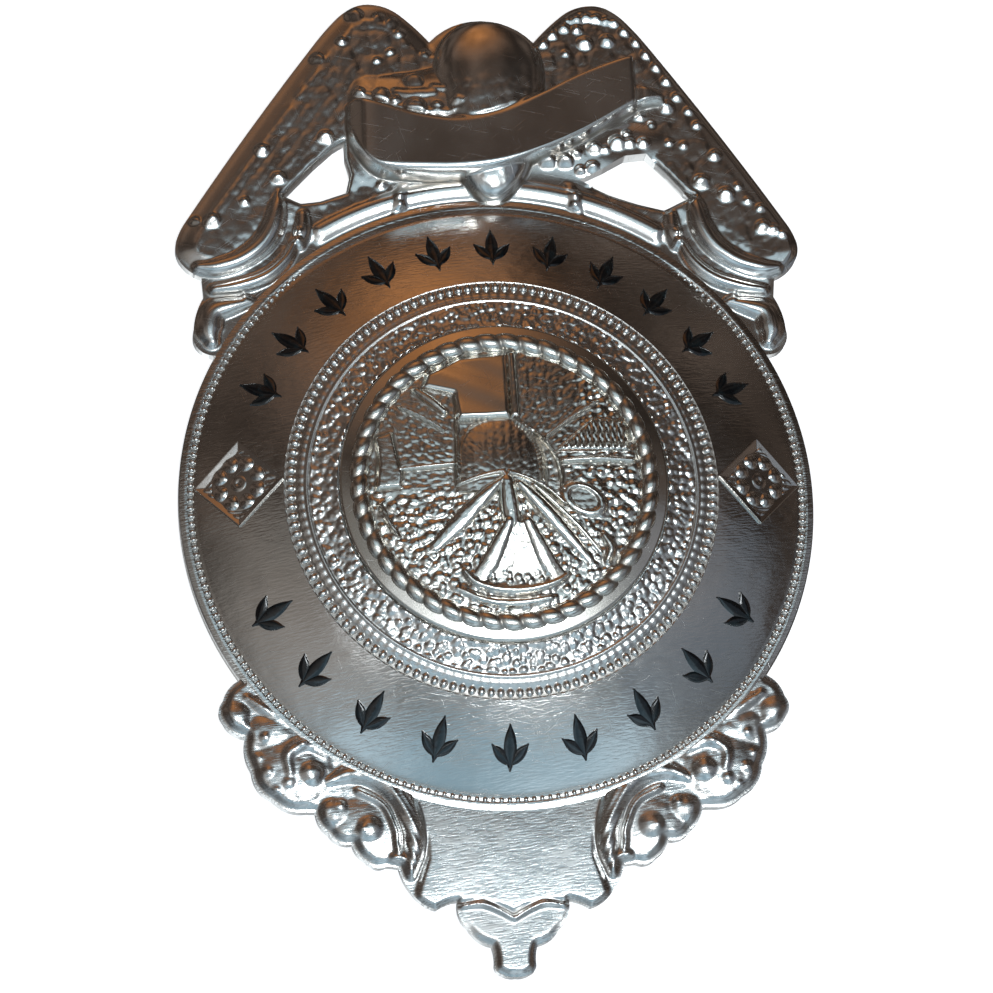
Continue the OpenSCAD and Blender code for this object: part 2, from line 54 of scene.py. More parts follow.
# Round field, all in millimetres
DISC_R = PLATE_HIGH[0]
EDGE_T = 0.9
BORDER_Z = 1.15
FIELD_R = DISC_R - 1.05
DOME_R = 46.0
RING_R = 15.0
INNER_BEADS = 140
OUTER_BEADS = 240
OUTER_BEADS_R = DISC_R - 0.84
OUTER_BEADS_SINK = 0.17
SEAL_R = SEAL_HIGH[0]
SEAL_GAP = 0.08
SEAT_R = SEAL_R + SEAL_GAP
SEAT_Z = SEAL_LOW[2] - SEAL_GAP
WALL = 1.1
BACK_R = DISC_R - 1.6

# Half length, half width and height of a bead
INNER_BEAD = (0.38, 0.30, 0.25)
OUTER_BEAD = (0.25, 0.2, 0.2)

# Crest and foot
CREST_W = 22.7
CREST_H = 38.3
FOOT_W = 19.95
FOOT_H = -PLATE_LOW[1] - 0.02
TUCK_R = DISC_R - 0.25
HEAD_RISE = 2.5
HEAD_Y = 32.6
RIBBON_RISE = 2.3
ROD_R = DISC_R + 0.6
CREST_PITCH = 0.09
FOOT_PITCH = 0.08

# Seal
SEAL_EDGE = 0.6
SEAL_RISE = 0.9
ROPE_R = 10.3
FIGURE_H = 0.75
ROPE_TURNS = 45

# Enamelled marks
MARK_R = 18.6
MARK_H = 3.1
UPPER_MARKS = 11
LOWER_MARKS = 9
UPPER_ARC = 131
LOWER_ARC = 124
LOZENGE_W = 6.8
LOZENGE_TURN = 2.4
ROSETTE_R = 1.5

# Camera: where it stands, seen from the badge, and the photograph's framing
CAMERA_AZIMUTH = -19.98
CAMERA_ELEVATION = 72.15
CAMERA_ROLL = -2.13
CAMERA_D = 300.0
IMAGE_SIDE = 993
FOCAL_PX = 13.965 * CAMERA_D
SENSOR_W = 36
CENTRE_SHIFT = (0.5, 7.4)


# Curves and distances

def spline(rows, steps=6):
    """Smooth curve through rows of any number of columns: the Catmull-Rom cubic between each two rows."""
    rows = np.asarray(rows, float)
    full = np.vstack([2 * rows[0] - rows[1], rows, 2 * rows[-1] - rows[-2]])
    a, b, c, d = (full[i:len(rows) - 1 + i, None, :] for i in range(4))
    t = (np.arange(steps) / steps)[None, :, None]
    curve = 0.5 * (2 * b + (c - a) * t + (2 * a - 5 * b + 4 * c - d) * t**2 + (3 * b - a - 3 * c + d) * t**3)
    return np.vstack([curve.reshape(-1, rows.shape[1]), rows[-1:]])


def bowed(rows, wide, high, steps=6):
    """Outline through rows of x share, y share and bow share: each step is its chord plus a parabola
    that stands off it sideways by the bow in its middle."""
    rows = np.asarray(rows, float)
    points = rows[:, :2] * (wide, high)
    chord = np.diff(points, axis=0)[:, None]
    side = np.stack([-chord[..., 1], chord[..., 0]], -1) / np.linalg.norm(chord, axis=-1, keepdims=True)
    t = (np.arange(steps) / steps)[None, :, None]
    curve = points[:-1, None] + chord * t + side * rows[:-1, None, 2:] * wide * 4 * t * (1 - t)
    return np.vstack([curve.reshape(-1, 2), points[-1:]])


def both_sides(half):
    """Closed outline made of a right half and its mirror image."""
    return np.vstack([half, half[::-1] * (-1, 1)])


def flipped(rows):
    """Rows with their x turned over."""
    rows = np.array(rows, float)
    rows[:, 0] *= -1
    return rows


def nearest(points, path):
    """Distance from each point to a path of straight steps, and the length along it to the nearest place."""
    step = np.diff(path[:, :2], axis=0)
    size = np.maximum(np.hypot(step[:, 0], step[:, 1]), 1e-9)
    start = np.concatenate([[0], np.cumsum(size)])
    best = np.full(len(points), np.inf)
    way = np.zeros(len(points))
    for i, (origin, move, length) in enumerate(zip(path[:-1, :2], step, size)):
        off = points - origin
        t = np.clip(off @ move / length**2, 0, 1)
        rest = off - t[:, None] * move
        gap = np.hypot(rest[:, 0], rest[:, 1])
        near = gap < best
        best = np.where(near, gap, best)
        way = np.where(near, start[i] + t * length, way)
    return best, way


def inset(points, outline):
    """How far inside a closed outline each point lies, negative outside: the distance to its border with
    the sign of an even or odd number of crossings to the right."""
    closed = np.vstack([outline, outline[:1]])
    gap = nearest(points, closed)[0]
    inside = np.zeros(len(points), bool)
    for a, b in zip(closed[:-1], closed[1:]):
        if a[1] != b[1]:
            between = (a[1] > points[:, 1]) != (b[1] > points[:, 1])
            inside ^= between & (points[:, 0] < a[0] + (points[:, 1] - a[1]) / (b[1] - a[1]) * (b[0] - a[0]))
    return np.where(inside, gap, -gap)


def smooth(x, low, high):
    """Rises from 0 at low to 1 at high along the cubic 3t^2 - 2t^3."""
    t = np.clip((x - low) / (high - low), 0, 1)
    return t * t * (3 - 2 * t)


def roundness(k, power=0.5):
    """Share of a rounded section at share k of its half width: (1 - k^2)^power, nothing past the edge."""
    return np.clip(1 - k * k, 0, 1) ** power


def ridge(points, rows, power=0.5, steps=6):
    """Height of a rounded ridge along rows of x, y, half width, height: the height times the roundness of
    the distance over the half width."""
    line = spline(rows, steps)
    reach = line[:, 2].max()
    near = np.all((points > line[:, :2].min(0) - reach) & (points < line[:, :2].max(0) + reach), axis=1)
    found = np.zeros(len(points))
    if near.any():
        gap, way = nearest(points[near], line)
        size = np.hypot(*np.diff(line[:, :2], axis=0).T)
        marks = np.concatenate([[0], np.cumsum(size)])
        share = gap / np.maximum(np.interp(way, marks, line[:, 2]), 1e-6)
        found[near] = np.interp(way, marks, line[:, 3]) * roundness(share, power)
    return found


def ridges(points, rows_list, **more):
    """The highest of several ridges at each point."""
    return np.max([ridge(points, rows, **more) for rows in rows_list], axis=0)


def dome(points, x, y, rx, ry, height, turn=0.0, power=0.5):
    """Rounded boss on an ellipse: the height times the roundness of the distance over the radius."""
    c, s = math.cos(math.radians(turn)), math.sin(math.radians(turn))
    off = points - (x, y)
    k = np.hypot((off[:, 0] * c + off[:, 1] * s) / rx, (off[:, 1] * c - off[:, 0] * s) / ry)
    return height * roundness(k, power)


# Factors that scatter the grains: of a cell's x and y and of the seed inside the sine, and of the sine
SCATTER_X, SCATTER_Y, SCATTER_SEED, SCATTER = 12.9898, 78.233, 37.719, 43758.5453
# Factors of the sine's decimals, for a grain's second coordinate and its size
SCATTER_PLACE, SCATTER_SIZE = 917.31, 5371.7


def pebbles(points, pitch, seed, fill=0.66):
    """Height from 0 to 1 of round grains of mixed size: each cell of a square lattice holds one, its place
    and size taken from the decimals of a large sine, and a point takes the roundness of its distance to the
    nearest over that grain's size."""
    cell = np.floor(points / pitch)
    best = np.full(len(points), 9.0)
    for dx in (-1, 0, 1):
        for dy in (-1, 0, 1):
            home = cell + (dx, dy)
            turn = home[:, 0] * SCATTER_X + home[:, 1] * SCATTER_Y + seed * SCATTER_SEED
            code = np.sin(turn) * SCATTER % 1.0
            push = np.stack([code, code * SCATTER_PLACE % 1.0], 1)
            size = 0.65 + 0.6 * (code * SCATTER_SIZE % 1.0)
            away = np.linalg.norm(points / pitch - home - 0.05 - 0.9 * push, axis=1)
            best = np.minimum(best, away / size)
    return roundness(best / fill, 0.8)


def gathered(wide, own):
    """Each place of a padded grid times its own share, plus its four neighbours."""
    return wide[1:-1, 1:-1] * own + wide[:-2, 1:-1] + wide[2:, 1:-1] + wide[1:-1, :-2] + wide[1:-1, 2:]


def softened(grid, times, wrap=False):
    """A grid averaged with its four neighbours so many times, its own value counting twice; wrap joins its
    last column to its first."""
    for _ in range(times):
        wide = np.pad(grid, ((1, 1), (0, 0)), mode="edge")
        wide = np.pad(wide, ((0, 0), (1, 1)), mode="wrap" if wrap else "edge")
        grid = gathered(wide, 2) / 6
    return grid


def hollows(grid, times, depth, wrap=False):
    """Share from 0 to 1 of how deep each place of a height grid lies below its softened surroundings."""
    return np.clip((softened(grid, times, wrap) - grid) / depth, 0, 1)


# Meshes

def put(name, points, faces, finish, hollow=None, replaced="plate", crease=50):
    """Mesh object of points in millimetres and faces, a list of index arrays with one row for each face.
    Its edges are sharp past an angle of crease degrees, and hollow, the share of painted shade, stays with
    its points."""
    mesh = bpy.data.meshes.new(name)
    corners = np.concatenate([np.asarray(f).ravel() for f in faces]).astype(np.int32)
    sizes = np.concatenate([np.full(len(f), np.asarray(f).shape[1]) for f in faces])
    starts = np.concatenate([[0], np.cumsum(sizes)[:-1]]).astype(np.int32)
    mesh.vertices.add(len(points))
    mesh.vertices.foreach_set("co", (np.asarray(points) * MM).astype(np.float32).ravel())
    mesh.loops.add(len(corners))
    mesh.loops.foreach_set("vertex_index", corners)
    mesh.polygons.add(len(sizes))
    mesh.polygons.foreach_set("loop_start", starts)
    mesh.update(calc_edges=True)
    mesh.validate()
    mesh.polygons.foreach_set("use_smooth", np.ones(len(mesh.polygons), bool))
    if crease < 180:
        mesh.set_sharp_from_angle(angle=math.radians(crease))
    if hollow is not None:
        mesh.attributes.new("hollow", "FLOAT", "POINT").data.foreach_set("value", hollow.astype(np.float32))
    mesh.materials.append(finish)
    piece = bpy.data.objects.new(name, mesh)
    bpy.context.scene.collection.objects.link(piece)
    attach(piece, "root")
    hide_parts(replaced)
    return piece


def lattice(rows, columns, wrap=False):
    """Faces of a grid of points stored row by row; wrap joins the last column to the first."""
    i = np.arange(rows - 1)[:, None] * columns
    j = np.arange(columns if wrap else columns - 1)[None, :]
    k = (j + 1) % columns
    return np.stack([i + j, i + k, i + k + columns, i + j + columns], -1).reshape(-1, 4)


def slab(rows, columns):
    """Faces of a closed slab: a grid of points on top, as many below it stored after them, and the walls
    between their borders."""
    face = lattice(rows, columns)
    below = rows * columns
    last_row, last_column = (rows - 1) * columns, columns - 1
    border = np.concatenate([
        np.arange(last_column), np.arange(rows - 1) * columns + last_column,
        last_row + np.arange(last_column, 0, -1), np.arange(rows - 1, 0, -1) * columns,
    ])
    walls = np.stack([np.roll(border, -1), border, border + below, np.roll(border, -1) + below], 1)
    return np.vstack([face, walls, face[:, ::-1] + below])


def plan(angle, r):
    """Rows of x, y of all places at an angle and a distance."""
    return np.stack([(r * np.cos(angle)).ravel(), (r * np.sin(angle)).ravel()], 1)


def turned(name, profile, columns, finish, relief, replaced="plate", crease=50):
    """Surface of revolution of a profile of r, z rows, from the outside in and back below, with
    relief(angle, r, row) added to z. Where the profile's ends don't meet, a fan closes each of them."""
    profile = np.asarray(profile, float)
    angle = np.linspace(0, 2 * np.pi, columns, endpoint=False)[None, :]
    r = profile[:, :1] + 0 * angle
    z = profile[:, 1:2] + 0 * angle
    rows = np.broadcast_to(np.arange(len(profile))[:, None], r.shape)
    z = z + relief(angle + 0 * r, r, rows)
    points = np.stack([r * np.cos(angle), r * np.sin(angle), z], -1).reshape(-1, 3)
    faces = [lattice(len(profile), columns, wrap=True)]
    # Share of painted shade: darker where the surface lies below its softened surroundings
    hollow = hollows(z, 12, 0.14, wrap=True).ravel()
    ring = np.arange(columns)
    if not np.allclose(profile[0], profile[-1]):
        tip = len(points)
        middle = [[0, 0, z[0].mean()], [0, 0, z[-1].mean()]]
        points = np.vstack([points, middle])
        hollow = np.concatenate([hollow, [0, 0]])
        last = (len(profile) - 1) * columns
        faces.append(np.stack([np.roll(ring, -1), ring, np.full(columns, tip)], 1))
        faces.append(np.stack([last + ring, last + np.roll(ring, -1), np.full(columns, tip + 1)], 1))
    return put(name, points, faces, finish, hollow, replaced, crease)


def whole_cells(inside):
    """Cells of a grid of points with all four corners inside. Those that fewer than two others touch are
    dropped, three times over."""
    cell = inside[:-1, :-1] & inside[1:, :-1] & inside[:-1, 1:] & inside[1:, 1:]
    for _ in range(3):
        cell &= gathered(np.pad(cell, 1).astype(int), 0) >= 2
    return cell


def onto_border(spots, room, reach=0.02):
    """Points moved onto room 0 by three steps down the slope of room, which is its change over reach."""
    for _ in range(3):
        here = room(spots)
        lean = np.stack([room(spots + (reach, 0)) - here, room(spots + (0, reach)) - here], 1) / reach
        lean /= np.maximum(np.linalg.norm(lean, axis=1, keepdims=True), 0.3)
        spots = spots - here[:, None] * lean
    return spots


def filled(rim, edges, room):
    """Triangles between the points of a rim, held to its edges and kept where room is positive."""
    flat = delaunay_2d_cdt([tuple(spot) for spot in rim.tolist()], edges.tolist(), [], 0, 1e-7)
    order = np.array([found[0] if found else -1 for found in flat[3]])
    triangles = order[np.array(flat[2])]
    triangles = triangles[(triangles >= 0).all(1)]
    return triangles[room(rim[triangles].mean(1)) > 0]


def struck(name, room, height, low, high, pitch, finish, soft):
    """Struck sheet: a square grid between two corners, kept where room(points) is positive and with its
    border points moved onto room 0. The front stands at height(points) softened so many times, walls run
    down to z 0, and the back is a flat triangulation of the border."""
    xs = np.arange(low[0], high[0] + pitch, pitch)
    ys = np.arange(low[1], high[1] + pitch, pitch)
    gx, gy = np.meshgrid(xs, ys)
    grid = np.stack([gx.ravel(), gy.ravel()], 1)
    tall = softened(height(grid).reshape(gx.shape), soft)
    # Share of painted shade: darker where the face lies below its softened surroundings
    hollow = hollows(tall, 14, 0.3).ravel()
    cell = whole_cells(room(grid).reshape(gx.shape) > 0.3 * pitch)
    around = np.pad(cell, 1).astype(int)
    count = (around[:-1, :-1] + around[1:, :-1] + around[:-1, 1:] + around[1:, 1:]).ravel()
    border = (count > 0) & (count < 4)
    grid[border] = onto_border(grid[border], room)
    tops = tall.ravel()
    tops[border] = height(grid[border])

    used = np.flatnonzero(count > 0)
    new = np.full(len(grid), -1)
    new[used] = np.arange(len(used))
    front = np.column_stack([grid[used], tops[used]])
    face = new[lattice(len(ys), len(xs))[cell.ravel()]]
    a, b = face.ravel(), np.roll(face, -1, axis=1).ravel()
    open_edge = ~np.isin(a * len(used) + b, b * len(used) + a)
    a, b = a[open_edge], b[open_edge]
    rim = np.unique(np.concatenate([a, b]))
    below = np.full(len(used), -1)
    below[rim] = len(used) + np.arange(len(rim))
    walls = np.stack([b, a, below[a], below[b]], 1)
    edges = np.stack([below[a], below[b]], 1) - len(used)
    back = filled(front[rim, :2], edges, room)[:, ::-1] + len(used)
    points = np.vstack([front, np.column_stack([front[rim, :2], np.zeros(len(rim))])])
    shade = np.concatenate([hollow[used], np.zeros(len(rim))])
    return put(name, points, [face, walls, back], finish, shade)


# Finishes

class Value:
    """A number that varies over a surface: sums, products and powers of it add Math nodes."""

    def __init__(self, nodes, socket):
        self.nodes = nodes
        self.socket = socket

    def math(self, operation, first, second, clamp=False):
        """A Math node's value of two numbers or values, held between 0 and 1 by clamp."""
        made = self.nodes.node("ShaderNodeMath", {"operation": operation, "use_clamp": clamp},
                               {0: first, 1: second})
        return Value(self.nodes, made.outputs[0])

    def __add__(self, other):
        return self.math("ADD", self, other)

    def __sub__(self, other):
        return self.math("SUBTRACT", self, other)

    def __rsub__(self, other):
        return self.math("SUBTRACT", other, self)

    def __mul__(self, other):
        return self.math("MULTIPLY", self, other)

    def __pow__(self, other):
        return self.math("POWER", self, other)

    def clamped(self):
        """Its value held between 0 and 1."""
        return self.math("ADD", self, 0.0, clamp=True)

    def over(self, other):
        """The greater of it and another."""
        return self.math("MAXIMUM", self, other)

    __radd__ = __add__
    __rmul__ = __mul__


class Nodes:
    """A tree of shader nodes in the making."""

    def __init__(self, tree, coordinates):
        self.tree = tree
        self.place = self.node("ShaderNodeTexCoord").outputs[coordinates]

    def node(self, kind, settings=None, inputs=None):
        """A node of a kind, with its settings made first and then the values or links of its sockets."""
        made = self.tree.nodes.new(kind)
        for key, value in (settings or {}).items():
            setattr(made, key, value)
        for key, value in (inputs or {}).items():
            self.wire(made.inputs[key], value)
        return made

    def wire(self, socket, value):
        """Sets a socket to a value, or links it where the value comes from another node."""
        if isinstance(value, Value):
            self.tree.links.new(value.socket, socket)
        elif isinstance(value, bpy.types.NodeSocket):
            self.tree.links.new(value, socket)
        else:
            socket.default_value = value

    def noise(self, place, scale, detail=2.0, rough=0.5):
        """Cloudy value about one half, with features 1 / scale wide."""
        made = self.node("ShaderNodeTexNoise", {"noise_dimensions": "3D"},
                         {"Vector": place, "Scale": scale, "Detail": detail, "Roughness": rough})
        return Value(self, made.outputs[0])

    def step(self, value, low, high):
        """0 below low, 1 above high and smooth between."""
        made = self.node("ShaderNodeMapRange", {"interpolation_type": "SMOOTHSTEP"},
                         {"Value": value, "From Min": low, "From Max": high})
        return Value(self, made.outputs[0])

    def mix(self, share, first, second):
        """Colour from first at share 0 to second at share 1."""
        first, second = ((*colour, 1) if isinstance(colour, tuple) else colour for colour in (first, second))
        return self.node("ShaderNodeMix", {"data_type": "RGBA"}, {0: share, 6: first, 7: second}).outputs[2]


class Finish(Nodes):
    """A material in the making, with places in millimetres."""

    def __init__(self, name):
        self.material = bpy.data.materials.new(name)
        self.material.use_nodes = True
        super().__init__(self.material.node_tree, "Object")
        self.shader = self.tree.nodes["Principled BSDF"]

    def mapped(self, turn=0.0, stretch=(1, 1, 1)):
        """Object coordinates in millimetres, turned about Z by degrees and then stretched."""
        around = self.node("ShaderNodeMapping", {"vector_type": "POINT"},
                           {"Vector": self.place, "Rotation": (0, 0, math.radians(turn))}).outputs[0]
        return self.node("ShaderNodeMapping", {"vector_type": "POINT"},
                         {"Vector": around, "Scale": [share / MM for share in stretch]}).outputs[0]

    def attribute(self, name):
        """Value that the mesh holds at its points under a name."""
        return Value(self, self.node("ShaderNodeAttribute", {"attribute_name": name}).outputs["Fac"])

    def bump(self, height, depth):
        """Normal of a height from 0 to 1 that stands depth millimetres tall."""
        return self.node("ShaderNodeBump", None, {"Height": height, "Distance": depth * MM}).outputs[0]

    def done(self, fixed=None, **varying):
        """Sets the shader's own sockets and wires the ones that vary."""
        for key, value in (fixed or {}).items():
            self.shader.inputs[key].default_value = value
        for key, value in varying.items():
            self.wire(self.shader.inputs[key.replace("_", " ")], value)
        return self.material


# Scratches of the plate: turn in degrees, length, width, share that they cover
SCRATCHES = [(12, 2.4, 0.06, 0.225), (-38, 1.8, 0.05, 0.215), (71, 1.8, 0.05, 0.21)]


def scratch_lines(finish, turn, length, width, amount):
    """Thin straight scratches at one angle: noise stretched along them and cut off near its top."""
    place = finish.mapped(turn, (1 / length, 1 / width, 1 / length))
    return finish.step(finish.noise(place, 1.0, 0.0), 1 - amount, 1 - amount + 0.05)


def plated(name, bright, tarnish_and_shade, gloss, brushed=0.0, wavy=0.0):
    """Worn bright plate: darker in hollows with painted shade, clouded by wear, with fine scratches in
    several directions, fine brushing and a waviness of so many hundredths of a millimetre."""
    finish = Finish(name)
    place = finish.mapped()
    cloud = finish.noise(place, 0.22, 3.0)
    grain = finish.noise(place, 3.5, 3.0, 0.6)
    hollow = finish.attribute("hollow")
    lines = scratch_lines(finish, *SCRATCHES[0])
    for row in SCRATCHES[1:]:
        lines = lines.over(scratch_lines(finish, *row))
    # Base colour goes to the tarnish colour where wear clouds the plate, and to it as painted shade in
    # hollows
    wear_and_shade = (hollow * 0.75 + finish.step(cloud, 0.5, 0.75) * 0.2).clamped()
    roughness = gloss + 0.08 * finish.step(cloud, 0.35, 0.7) + 0.2 * hollow + 0.08 * lines
    height = grain * 0.3 - lines * 0.1 + finish.noise(place, 0.55, 1.0) * wavy
    if brushed:
        strokes = finish.step(finish.noise(finish.mapped(-8, (1.3, 7.0, 1)), 1.0, 2.0), 0.3, 0.7)
        height = height + strokes * brushed
        roughness = roughness + strokes * 0.15 * brushed
    return finish.done(
        {"Metallic": 1.0},
        Base_Color=finish.mix(wear_and_shade, bright, tarnish_and_shade),
        Roughness=roughness.clamped(),
        Normal=finish.bump(height, 0.012),
    )


def enamelled(name):
    """Glossy blue-black enamel, a little uneven and dusty."""
    finish = Finish(name)
    cloud = finish.noise(finish.mapped(), 1.3, 2.0)
    return finish.done(
        {"Metallic": 0.0, "IOR": 1.7, "Coat Weight": 0.5, "Coat Roughness": 0.04},
        Base_Color=finish.mix(finish.step(cloud, 0.45, 0.7), (0.002, 0.004, 0.006), (0.006, 0.015, 0.019)),
        Roughness=0.08 + 0.15 * cloud,
        Normal=finish.bump(cloud, 0.04),
    )


def wire_finish(name):
    """Drawn nickel wire and posts, clouded and finely lined along X."""
    finish = Finish(name)
    lines = finish.noise(finish.mapped(0, (0.4, 9, 9)), 1.0, 2.0)
    cloud = finish.noise(finish.mapped(), 0.5, 2.0)
    return finish.done(
        {"Metallic": 1.0},
        Base_Color=finish.mix(cloud, (0.62, 0.60, 0.56), (0.45, 0.42, 0.38)),
        Roughness=0.22 + 0.2 * lines,
        Normal=finish.bump(lines, 0.01),
    )


def card_finish(name):
    """Pale matt paper under the badge."""
    finish = Finish(name)
    cloud = finish.noise(finish.mapped(), 0.02, 2.0)
    return finish.done(
        {"Roughness": 0.9, "Emission Strength": 0.85, "Emission Color": (0.98, 0.99, 1.0, 1)},
        Base_Color=finish.mix(cloud, (0.86, 0.87, 0.88), (0.90, 0.90, 0.90)),
    )


PLATE = plated("worn_bright_plate", (0.88, 0.86, 0.83), (0.32, 0.27, 0.22), 0.16, wavy=1.0)
FIELD_PLATE = plated("field_bright_plate", (0.86, 0.84, 0.81), (0.33, 0.27, 0.21), 0.12, 0.4, 2.0)
BRUSHED_PLATE = plated("brushed_bright_plate", (0.86, 0.85, 0.83), (0.30, 0.25, 0.20), 0.2, 0.45, 3.0)
STIPPLED_PLATE = plated("stippled_bright_plate", (0.90, 0.88, 0.85), (0.36, 0.31, 0.26), 0.24)
SEAL_METAL = plated("seal_bright_plate", (0.88, 0.85, 0.79), (0.34, 0.29, 0.24), 0.16)
ENAMEL = enamelled("blue_black_enamel")
WIRE = wire_finish("drawn_nickel_wire")


# Round field

def field_z(r):
    """Height of the domed field at distance r: a sphere of radius DOME_R, at BORDER_Z where r is FIELD_R."""
    return BORDER_Z + np.sqrt(DOME_R**2 - r * r) - math.sqrt(DOME_R**2 - FIELD_R**2)


def worn(angle):
    """How far the outer beading is worn away, from 0 to 1: all of it at the top and a part at the bottom."""
    return np.maximum(smooth(np.sin(angle), 0.62, 0.85), 0.3 * smooth(-np.sin(angle), 0.9, 0.98))


# Section of the rim: distance from the field's edge, height, share that wear fills up
RIM = [
    (0.0, 0.0, 0.0), (0.0, 0.75, 0.0), (0.03, 0.95, 0.0), (0.1, BORDER_Z - 0.05, 0.0),
    (0.35, BORDER_Z, 0.0), (0.6, BORDER_Z + 0.05, 0.0), (0.66, BORDER_Z + 0.03, 0.0),
    (0.7, BORDER_Z - 0.05, 1.0), (1.0, BORDER_Z - 0.05, 1.0), (1.04, BORDER_Z, 0.4),
]


def round_field():
    """Rim, border channel and domed field, with the seat of the seal and the hollow back."""
    outer = np.array([(DISC_R - inward, z, share) for inward, z, share in RIM])
    r = np.linspace(FIELD_R - 0.08, SEAT_R, 52)
    top = np.stack([r, field_z(r) - 0.012 - 0.35 * (r < RING_R + 0.4)], 1)
    inner = [(SEAT_R, SEAT_Z), (SEAT_R / 2, SEAT_Z)]
    panel_z = SEAT_Z - WALL
    foot = math.sqrt(DOME_R**2 - FIELD_R**2) - BORDER_Z
    panel_r = math.sqrt(DOME_R**2 - (foot + panel_z + WALL)**2)
    r = np.linspace(panel_r, BACK_R, 16)
    back = np.stack([r, np.maximum(field_z(r) - WALL, 0)], 1)
    rest = [top, inner, [(SEAT_R / 2, panel_z)], back, [(BACK_R, 0.0), (DISC_R, 0.0)]]
    profile = np.vstack([outer[:, :2], *rest])
    channel = np.zeros(len(profile))
    channel[:len(outer)] = outer[:, 2]

    def relief(angle, r, row_number):
        """The border channel, filled up where the outer beading is worn away."""
        return 0.08 * channel[row_number] * worn(angle)

    return turned("round_field", profile, 480, FIELD_PLATE, relief)


# Sections of the band at the ring of beads: distance from RING_R and height above the field
BAND_EDGE = [(0.5, -0.1), (0.46, 0.03), (0.4, -0.02), (0.36, -0.04), (-0.36, -0.04), (-0.42, 0.0)]
KNURLED_ROW = [(-0.48, 0.02), (-0.56, 0.04), (-0.66, 0.05), (-0.76, 0.04), (-0.84, 0.02), (-0.92, 0.0)]
PLAIN_LINE = [(-0.98, 0.02), (-1.04, 0.05), (-1.12, 0.05), (-1.18, 0.0)]


def inner_border():
    """Band inside the ring of beads: a faint knurled row, a plain line and stippled ground to the seal."""
    band = np.array([*BAND_EDGE, *KNURLED_ROW, *PLAIN_LINE]) + (RING_R, 0)
    r = np.linspace(RING_R - 1.28, SEAT_R + 0.02, 26)
    ground = np.stack([r, -0.06 - 0.1 * np.sin(np.pi * (r - SEAT_R) / (RING_R - 1.28 - SEAT_R))], 1)
    face = np.vstack([band, ground])
    face[:, 1] += field_z(face[:, 0])
    under = [(SEAT_R + 0.02, SEAT_Z + 0.05), (RING_R + 0.5, field_z(RING_R + 0.5) - 0.4)]
    profile = np.vstack([face, under, face[:1]])
    knurled = np.zeros(len(profile))
    knurled[len(BAND_EDGE):len(BAND_EDGE) + len(KNURLED_ROW)] = 1
    stippled = np.zeros(len(profile))
    stippled[len(band) + 1:len(face) - 1] = 1

    def relief(angle, r, row_number):
        """Teeth of the knurled row, a cosine of the angle, and grains of two sizes on the ground."""
        spots = plan(angle, r)
        grains = pebbles(spots, 0.6, 3, 0.55) + 0.35 * pebbles(spots, 0.36, 5)
        teeth = 0.5 + 0.5 * np.cos(angle * INNER_BEADS)
        knurling = -0.03 * knurled[row_number] * (1 - teeth)
        return knurling + 0.1 * stippled[row_number] * grains.reshape(r.shape)

    return turned("inner_border", profile, INNER_BEADS * 8, STIPPLED_PLATE, relief, crease=60)


def beads(name, ring_r, count, bead, z, sink=0.0):
    """Row of half-round beads: each is the upper half of an ellipsoid, worked out for all beads at once.
    Where the beading is worn they sit lower by sink."""
    long_r, wide_r, tall = bead
    around, up = 10, 5
    theta = np.linspace(0, 2 * np.pi, around, endpoint=False)[None, :]
    phi = np.linspace(-0.35, np.pi / 2, up)[:-1][:, None]
    local = np.stack([long_r * np.cos(phi) * np.cos(theta), wide_r * np.cos(phi) * np.sin(theta),
                      tall * np.sin(phi) + 0 * theta], -1).reshape(-1, 3)
    local = np.vstack([local, [[0, 0, tall]], [[0, 0, local[0, 2]]]])
    angle = np.arange(count)[:, None] * 2 * np.pi / count
    r = ring_r + local[None, :, 0]
    side = local[None, :, 1]
    points = np.stack([r * np.cos(angle) - side * np.sin(angle), r * np.sin(angle) + side * np.cos(angle),
                       z + local[None, :, 2] - sink * worn(angle)], -1).reshape(-1, 3)
    ring = np.arange(around)
    next_ring = np.roll(ring, -1)
    top, bottom = (up - 1) * around, (up - 1) * around + 1
    last = (up - 2) * around
    quads = lattice(up - 1, around, wrap=True)
    caps = np.vstack([np.stack([last + ring, last + next_ring, np.full(around, top)], 1),
                      np.stack([next_ring, ring, np.full(around, bottom)], 1)])
    shift = (np.arange(count) * len(local))[:, None, None]
    return put(name, points, [(quads[None] + shift).reshape(-1, 4), (caps[None] + shift).reshape(-1, 3)],
               STIPPLED_PLATE, crease=180)


